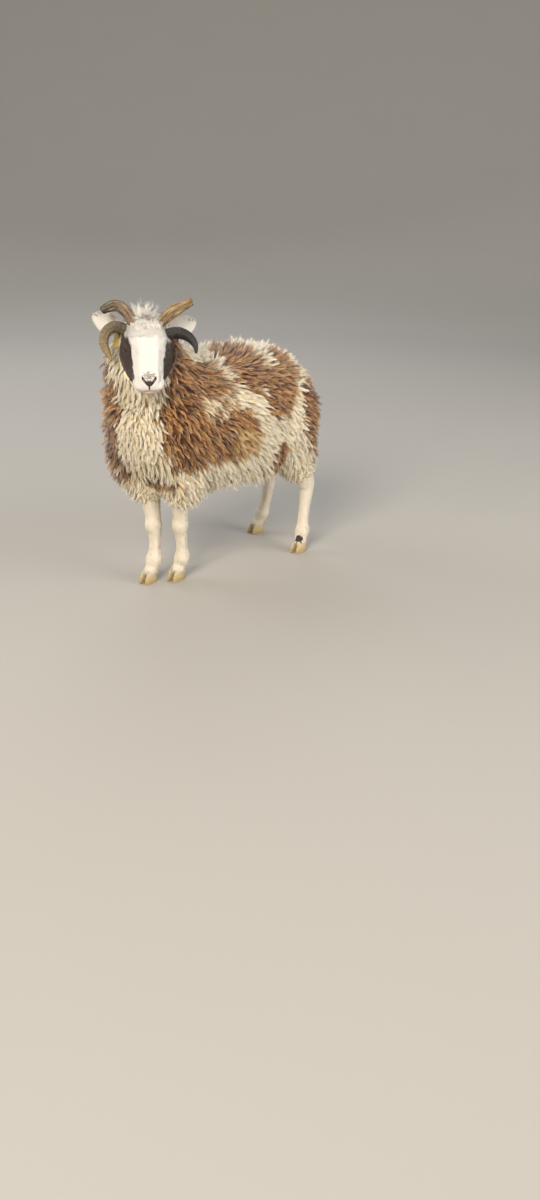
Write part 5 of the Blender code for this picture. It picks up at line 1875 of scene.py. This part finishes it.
@dataclass(frozen=True)
class Underwool:
    """The dense wool between the locks, as one soft body inside them."""

    share: float = 0.66
    voxel: float = 0.008
    within: float = 0.56

    def build(self, hide: Hide, roots: Roots) -> bpy.types.Object:
        """Makes the body, a little uneven and kept below the locks, with the coat's markings."""
        obj = Body().form("underwool", self.share, self.voxel)
        points, normals = points_of(obj), points_of(obj, "normal")
        locks = KDTree(len(roots.place))
        for i, place in enumerate(roots.place):
            locks.insert(Vector(place), i)
        locks.balance()
        for i, point in enumerate(points):
            ground, _, _, away = hide.tree.find_nearest(Vector(point))
            most = self.within * min(roots.depth[j] for _, j, _ in locks.find_n(ground, 12))
            points[i] += (np.array(ground) - point) * max(1 - most / max(away, 1e-6), 0.0)
        set_points(obj, points + normals * (0.003 * ripple(points, 0.022, 71) - 0.001)[:, None])
        brown, ochre = MARKINGS.coat(points + normals * 0.01)
        tone = 0.5 + 0.25 * ripple(points, 0.012, 72)
        # A fixed share of 0.2 along gives the underwool the darker root tone, which is painted shade between the
        # locks.
        store(obj, "lock", np.stack((brown, tone, 0.2 + 0 * tone), 1))
        store(obj, "ochre", ochre)
        return obj


@dataclass(frozen=True)
class Topknot:
    """White fluff between the upper horns, with thin curly wisps that rise from it."""

    beds: tuple = (  # tufts, shortest and longest, half width of the bed, uprightness, and their growth
        (520, 0.014, 0.024, 0.038, 0.30, Growth(
            0, 0, 0.0014, 0.0050, 0.0010, stray=0.2, strands=6, core=1.6, soft=3.0, flat=0.3,
        )),
        (230, 0.026, 0.046, 0.026, 1.0, Growth(
            0, 0, 0.0012, 0.0060, 0.0020, stray=0.5, strands=6, core=1.6, soft=2.5,
        )),
        (18, 0.050, 0.068, 0.016, 1.0, Growth(
            0, 0, 0.0009, 0.0050, 0.0040, stray=0.8, strands=6, core=1.0, soft=2.0,
        )),
    )

    def build(self, hide: Hide) -> bpy.types.Object:
        """Grows the fluff and the wisps as one piece."""
        chance = np.random.default_rng(5)
        down, side, above = HEAD.coordinates(hide.middle).T
        poll = (down > -0.014) & (down < 0.056) & (np.abs(side) < 0.040) & (above > -0.030)
        made, places = [], []
        for count, low, high, half, upright, growth in self.beds:
            place, normal = hide.sample(poll, count, chance)
            down, side, _ = HEAD.coordinates(place).T
            keep = (np.abs(side) < half) & (down < (0.060 if upright < 1 else 0.032))
            place, normal, side = place[keep], normal[keep], side[keep, None]
            stands = smooth_step(0.050, 0.010, down[keep])[:, None]
            fanned = (6 + 24 * (upright == 1)) * side * HEAD.left
            rise = unit(stands * (UP + 0.5 * normal) + (1 - stands) * (HEAD.axes[0] + 0.10 * normal) + fanned)
            rise = unit(rise + chance.normal(0, 0.10, rise.shape))
            length = chance.uniform(low, high, len(place))[:, None, None]
            run = LOCK_RUN[None, :, None]
            curl = unit(np.cross(rise, chance.normal(0, 1, rise.shape)))[:, None]
            fall = (UP if upright == 1 else UP - HEAD.axes[0]) * 0.35 * length * run**2.5 * (1.3 - upright)
            fall = fall * stands[:, None]
            paths = place[:, None] + rise[:, None] * length * (run - 0.08) - fall
            paths = paths + curl * 0.05 * length * np.sin(4 * run)
            ahead = np.clip((HEAD.coordinates(place)[:, :1] - 0.006) / 0.012, -0.3, 1.0)
            outward = unit(0.4 * normal + ahead * HEAD.facing + 0.8 * UP)
            outward = np.repeat(outward[:, None], len(LOCK_RUN), 1)
            growths = np.array([growth] * len(place), object)
            made.append(strands_along(paths, outward, LOCK_RUN, growths, chance))
            places.append(place)
        offsets = np.cumsum([0] + [len(grown.points) for grown in made])
        points, normals, along = (
            np.concatenate([getattr(grown, key) for grown in made]) for key in ("points", "normals", "along")
        )
        triangles = np.concatenate([grown.triangles + offset for grown, offset in zip(made, offsets)])
        obj = mesh_object("topknot", points, triangles, normals)
        tone = np.repeat(chance.uniform(0.4, 0.8, len(points) // made[0].size), made[0].size)
        # Along each strand: the material paints shade at the roots and lightens the tips.
        store(obj, "lock", np.stack((0 * tone, tone, along), 1))
        store(obj, "ochre", 0 * tone)
        lay_map(obj, np.concatenate(places), HEAD_LINE, 6, made[0].size, along)
        return obj


@dataclass(frozen=True)
class ShortHair:
    """A stretch of short hair, in small tufts that lie along the hide and break its edge."""

    name: str
    slot: str
    count: int
    length: float
    width: float
    rise: float
    axis: tuple
    part: str

    @property
    def ear(self) -> Ear | None:
        """The ear that the hair grows on, if it is one."""
        return next((ear for ear in EARS if ear.name == self.part), None)

    @property
    def leg(self) -> Leg | None:
        """The leg that the hair grows on, if it is one."""
        return next((leg for leg in LEGS if leg.name == self.part), None)

    def weight(self, hide: Hide) -> Array:
        """How thickly the hair grows on each triangle of the hide."""
        places = hide.middle
        down, side, above = HEAD.coordinates(places).T
        eyes = [np.linalg.norm(places - HEAD.eye_frame(s)[0], axis=1) < 0.0190 for s in (1, -1)]
        on_ear = np.max([ear.share_at(places, 0.040) for ear in EARS], axis=0) > 0.05
        jaw = Fleece.is_bare(None, places) & (places[:, 2] > 0.40) & ~on_ear & ~eyes[0] & ~eyes[1]
        if self.part == "forehead":
            return jaw & (down < 0.085) & (np.abs(side) < 0.050) & (above > -0.03)
        if self.part == "cheek":
            return jaw & ((np.abs(side) > 0.046) | (above < -0.05)) & (down < 0.20)
        if self.part == "nose":
            return jaw & (down > 0.07) & (down < 0.225) & (above > -0.05) & (np.abs(side) > 0.026)
        if self.ear:
            share = self.ear.share_at(places, 0.034)
            off = np.abs((places - HEAD.place(self.ear.root)) @ self.ear.axes[1])
            return (share > 0.10) * (share < 1.1) * (0.15 + (off > 0.6 * self.ear.width_at(share)))
        away = np.linalg.norm(places[:, :2] - np.stack(self.leg.middle_at(places[:, 2]), 1), axis=1)
        fringe = smooth_step(0.055, 0.036, places[:, 2])
        return (away < 0.045) * (places[:, 2] < 0.30) * (places[:, 2] > CORONET + 0.001) * (1 + 3 * fringe)

    def build(self, hide: Hide) -> bpy.types.Object:
        """Grows the hair as one piece with the hide's markings."""
        chance = np.random.default_rng(self.count + len(self.part))
        place, normal = hide.sample(self.weight(hide), self.count, chance)
        if self.part in ("forehead", "cheek", "nose"):
            lie = HEAD.axes[0] - 0.15 * HEAD.axes[2] + 6.0 * HEAD.coordinates(place)[:, 1:2] * HEAD.left
        elif self.ear:
            along, broad, _ = self.ear.axes
            lie = along + 18.0 * ((place - HEAD.place(self.ear.root)) @ broad)[:, None] * broad
        else:
            lie = -UP - 0.18 * self.leg.forward + 0 * place
        lie = lie + chance.normal(0, 0.18, place.shape)
        lie = unit(lie - (lie * normal).sum(1)[:, None] * normal)
        low = self.leg is not None
        fringe = smooth_step(0.055, 0.036, place[:, 2]) if low else np.zeros(len(place))
        length = self.length * chance.uniform(0.7, 1.3, len(place)) * (1 + 0.6 * fringe)
        length = np.minimum(length, np.maximum(place[:, 2] - 0.016, 0.004)) if low else length
        wide = self.width
        tuft = Growth(0, 0, wide, 0.9 * wide, 0.25 * wide, strands=3, core=1.0, soft=4.0, flat=0.2)
        growth = np.array([tuft] * len(place), object)
        run = HAIR_RUN[None, :, None]
        high = self.rise * chance.uniform(0.6, 1.4, (len(place), 1, 1)) * (1 + 2 * fringe[:, None, None])
        paths = place[:, None] + lie[:, None] * length[:, None, None] * run
        paths = paths + normal[:, None] * high * HAIR_RISE[None, :, None]
        facing = 1.5 * self.ear.axes[2] if self.ear else 0.0
        outward = np.repeat(unit(normal + facing)[:, None], 3, 1)
        grown = strands_along(paths, outward, HAIR_RUN, growth, chance)
        obj = mesh_object(self.name, grown.points, grown.triangles, grown.normals)
        for key, values in zip(("marks", "tints"), MARKINGS.hide(place, normal)):
            store(obj, key, np.repeat(values, 3 * grown.size, 0))
        lay_map(obj, place, self.axis, 3, grown.size, grown.along)
        return obj


SHORT_HAIR = (
    ShortHair("hair_forehead", "face_hair", 1300, 0.011, 0.0014, 0.0008, HEAD_LINE, "forehead"),
    ShortHair("hair_cheeks", "face_hair", 1700, 0.011, 0.0015, 0.0012, HEAD_LINE, "cheek"),
    ShortHair("hair_nose", "face_hair", 600, 0.006, 0.0011, 0.0003, HEAD_LINE, "nose"),
    *(
        ShortHair(
            "hair_" + ear.name, "ear_hair", 420, 0.006, 0.0010, 0.0004, (HEAD.place(ear.root), ear.axes[0]), ear.name,
        )
        for ear in EARS
    ),
    *(
        ShortHair("hair_" + leg.name, "leg_hair", 800, 0.009, 0.0014, 0.0006, (leg.foot, UP), leg.name)
        for leg in LEGS
    ),
)


# The studio


@dataclass(frozen=True)
class Studio:
    """A plain pale floor, soft light and the camera at the photograph's angle."""

    camera_at: tuple = (2.195, -1.941, 1.15)
    azimuth: float = 45.0
    pitch: float = 24.0
    roll: float = 1.1
    focal_pixels: float = 880.0
    long_side: float = 1200.0
    lamps: tuple = (  # name, place, size, power and tint
        ("key", (2.6, -5.2, 4.0), 2.8, 480.0, "FFF3E2"),
        ("fill", (4.8, 2.4, 2.2), 3.6, 230.0, "FBF6EE"),
        ("back", (-4.8, 3.4, 4.6), 3.6, 110.0, "F4F6FF"),
        ("right", (-5.2, -2.6, 3.0), 3.6, 150.0, "F6F4F0"),
    )

    def camera(self) -> None:
        """Adds the camera."""
        data = bpy.data.cameras.new("camera")
        data.sensor_width = 36.0
        data.lens = self.focal_pixels * data.sensor_width / self.long_side
        data.clip_start = 0.01
        obj = bpy.data.objects.new("camera", data)
        bpy.context.scene.collection.objects.link(obj)
        turn, dip, roll = (math.radians(v) for v in (self.azimuth, self.pitch, self.roll))
        right = np.array((math.cos(turn), math.sin(turn), 0.0))
        forward = np.array((-math.sin(turn) * math.cos(dip), math.cos(turn) * math.cos(dip), -math.sin(dip)))
        up = np.cross(right, forward)
        level = math.cos(roll) * right + math.sin(roll) * up
        upright = -math.sin(roll) * right + math.cos(roll) * up
        matrix = Matrix((level, upright, -forward)).transposed().to_4x4()
        matrix.translation = Vector(np.array(self.camera_at) + SHIFT)
        obj.matrix_world = matrix
        bpy.context.scene.camera = obj

    def light(self, name: str, at: tuple, size: float, power: float, tint: str) -> None:
        """Adds a soft square light that faces the sheep."""
        data = bpy.data.lights.new(name, "AREA")
        data.size = size
        data.energy = power
        data.color = linear(tint)[:3]
        obj = bpy.data.objects.new(name, data)
        bpy.context.scene.collection.objects.link(obj)
        obj.location = at
        obj.rotation_euler = (Vector((0, 0, 0.5)) - Vector(at)).to_track_quat("-Z", "Y").to_euler()

    def build(self) -> None:
        """Adds the floor, the lights and the camera."""
        profile = ((5.0, 0.0), (6.5, 0.08), (8.0, 0.5), (9.2, 1.6), (9.8, 3.2), (10.0, 5.5))
        angle = 2 * math.pi * np.arange(96) / 96
        radii, heights = curve(profile, np.linspace(0, 1, 40)).T
        round_at = np.stack((np.cos(angle), np.sin(angle), 0 * angle), 1)
        rings = [r * round_at + h * UP for r, h in zip(radii, heights)]
        points, triangles = loft(np.stack(rings))
        floor = mesh_object("floor", points, triangles[: -len(angle)])
        floor.data.flip_normals()
        paint = Plain("studio_floor", 0.9, tone="A9A6A0", worn="A6A39D", grain=40.0)
        floor.data.materials.append(paint.make())
        for lamp in self.lamps:
            self.light(*lamp)
        world = bpy.data.worlds.new("studio_air")
        world.use_nodes = True
        background = world.node_tree.nodes["Background"]
        background.inputs["Color"].default_value = linear("D9DCE0")
        background.inputs["Strength"].default_value = 0.65
        bpy.context.scene.world = world
        bpy.context.scene.view_settings.view_transform = "Standard"
        self.camera()


# Building in order


@dataclass
class Coat:
    """Parts the locks among pieces of the coat and dresses them."""

    hide: Hide
    regions: tuple = (  # name, a point on the line the map is unrolled from, and its direction
        ("fleece_neck", (0.02, -0.30, 0.70), (0.14, -0.47, 0.87)),
        ("fleece_breast", (0.0, -0.24, 0.50), (0.0, -0.3, 1.0)),
        *(
            (f"fleece_{part}_{side}", (0.0, 0.0, 0.50), (0.0, 1.0, 0.0))
            for part in ("shoulder", "flank", "rump")
            for side in ("left", "right")
        ),
        ("fleece_thigh_left", (0.092, 0.25, 0.39), (0.1, 0.4, -1.0)),
        ("fleece_thigh_right", (-0.098, 0.266, 0.39), (-0.1, 0.4, -1.0)),
        ("fleece_tail", (0.0, 0.40, 0.45), (0.0, 0.2, -1.0)),
    )

    def region_of(self, place: Array) -> str:
        """The piece of fleece that a root belongs to."""
        x, y, z = place
        side = "left" if x > 0 else "right"
        if abs(x) < 0.050 and y > 0.350:
            return "fleece_tail"
        if y > 0.10 and z < 0.43:
            return "fleece_thigh_" + side
        if (place - (0.016, -0.250, 0.660)) @ (0.20, -0.55, 0.81) > 0:
            return "fleece_neck"
        if y < -0.265:
            return "fleece_breast"
        if y < -0.09:
            return "fleece_shoulder_" + side
        return ("fleece_flank_" if y < 0.125 else "fleece_rump_") + side

    def build(self, hair: bpy.types.Material) -> None:
        """Grows every piece of the coat and dresses it.

        Args:
            hair: The material of the short hair.
        """
        fleece = Fleece(self.hide)
        roots = fleece.spread()
        log.info("%d locks", len(roots.place))
        names = np.array([self.region_of(place) for place in roots.place])
        wool = Wool("raw_fleece", roughness=0.85, sheen=0.4).make()
        for name, *axis in self.regions:
            piece = fleece.piece(name, roots.some(names == name), tuple(axis))
            finished(piece, wool)
        finished(Underwool().build(self.hide, roots), wool)
        whites = ("E4DED2", "EEE9DE", "F6F3EC", "FDFBF6")
        fluff = Wool("white_fluff", roughness=0.85, sheen=0.4, cream=whites).make()
        finished(Topknot().build(self.hide), fluff)
        for stretch in SHORT_HAIR:
            finished(stretch.build(self.hide), hair)


def main() -> None:
    """Builds the sheep and its studio."""
    logging.basicConfig(level=logging.INFO, format="%(message)s")
    skin = Skin()
    hair = skin.finish.make()
    Coat(Hide(skin.build())).build(hair)
    skin.dress(hair)
    for horn in HORNS:
        horn.dress(horn.build())
    tones = {"root": "B39A68", "middle": "CDB98A", "tip": "E2D5B4", "streak_and_groove_shade": "8A7448"}
    hoof = Keratin("hoof_horn", 0.6, streaks=0.3, **tones).make()
    for leg in LEGS:
        for outward in (1, -1):
            claw = Claw(leg, outward)
            obj = claw.build()
            finished(obj, hoof, (claw.name,))
    finished(Dewclaws().build(), hoof)
    wet = WetEye("wet_eye", roughness=0.08, ior=1.38, coat=0.6).make()
    for side, node in ((1, "eye_left"), (-1, "eye_right")):
        finished(Eye(side).build(), wet, (node,))
    plastic = Plain("moulded_plastic", 0.42, tone="F4E196", worn="EAD584", grain=12.0).make()
    finished(EarTag().build(), plastic, ("ear_tag",))
    Studio().build()
    bpy.context.view_layer.update()


if __name__ == "__main__":
    main()
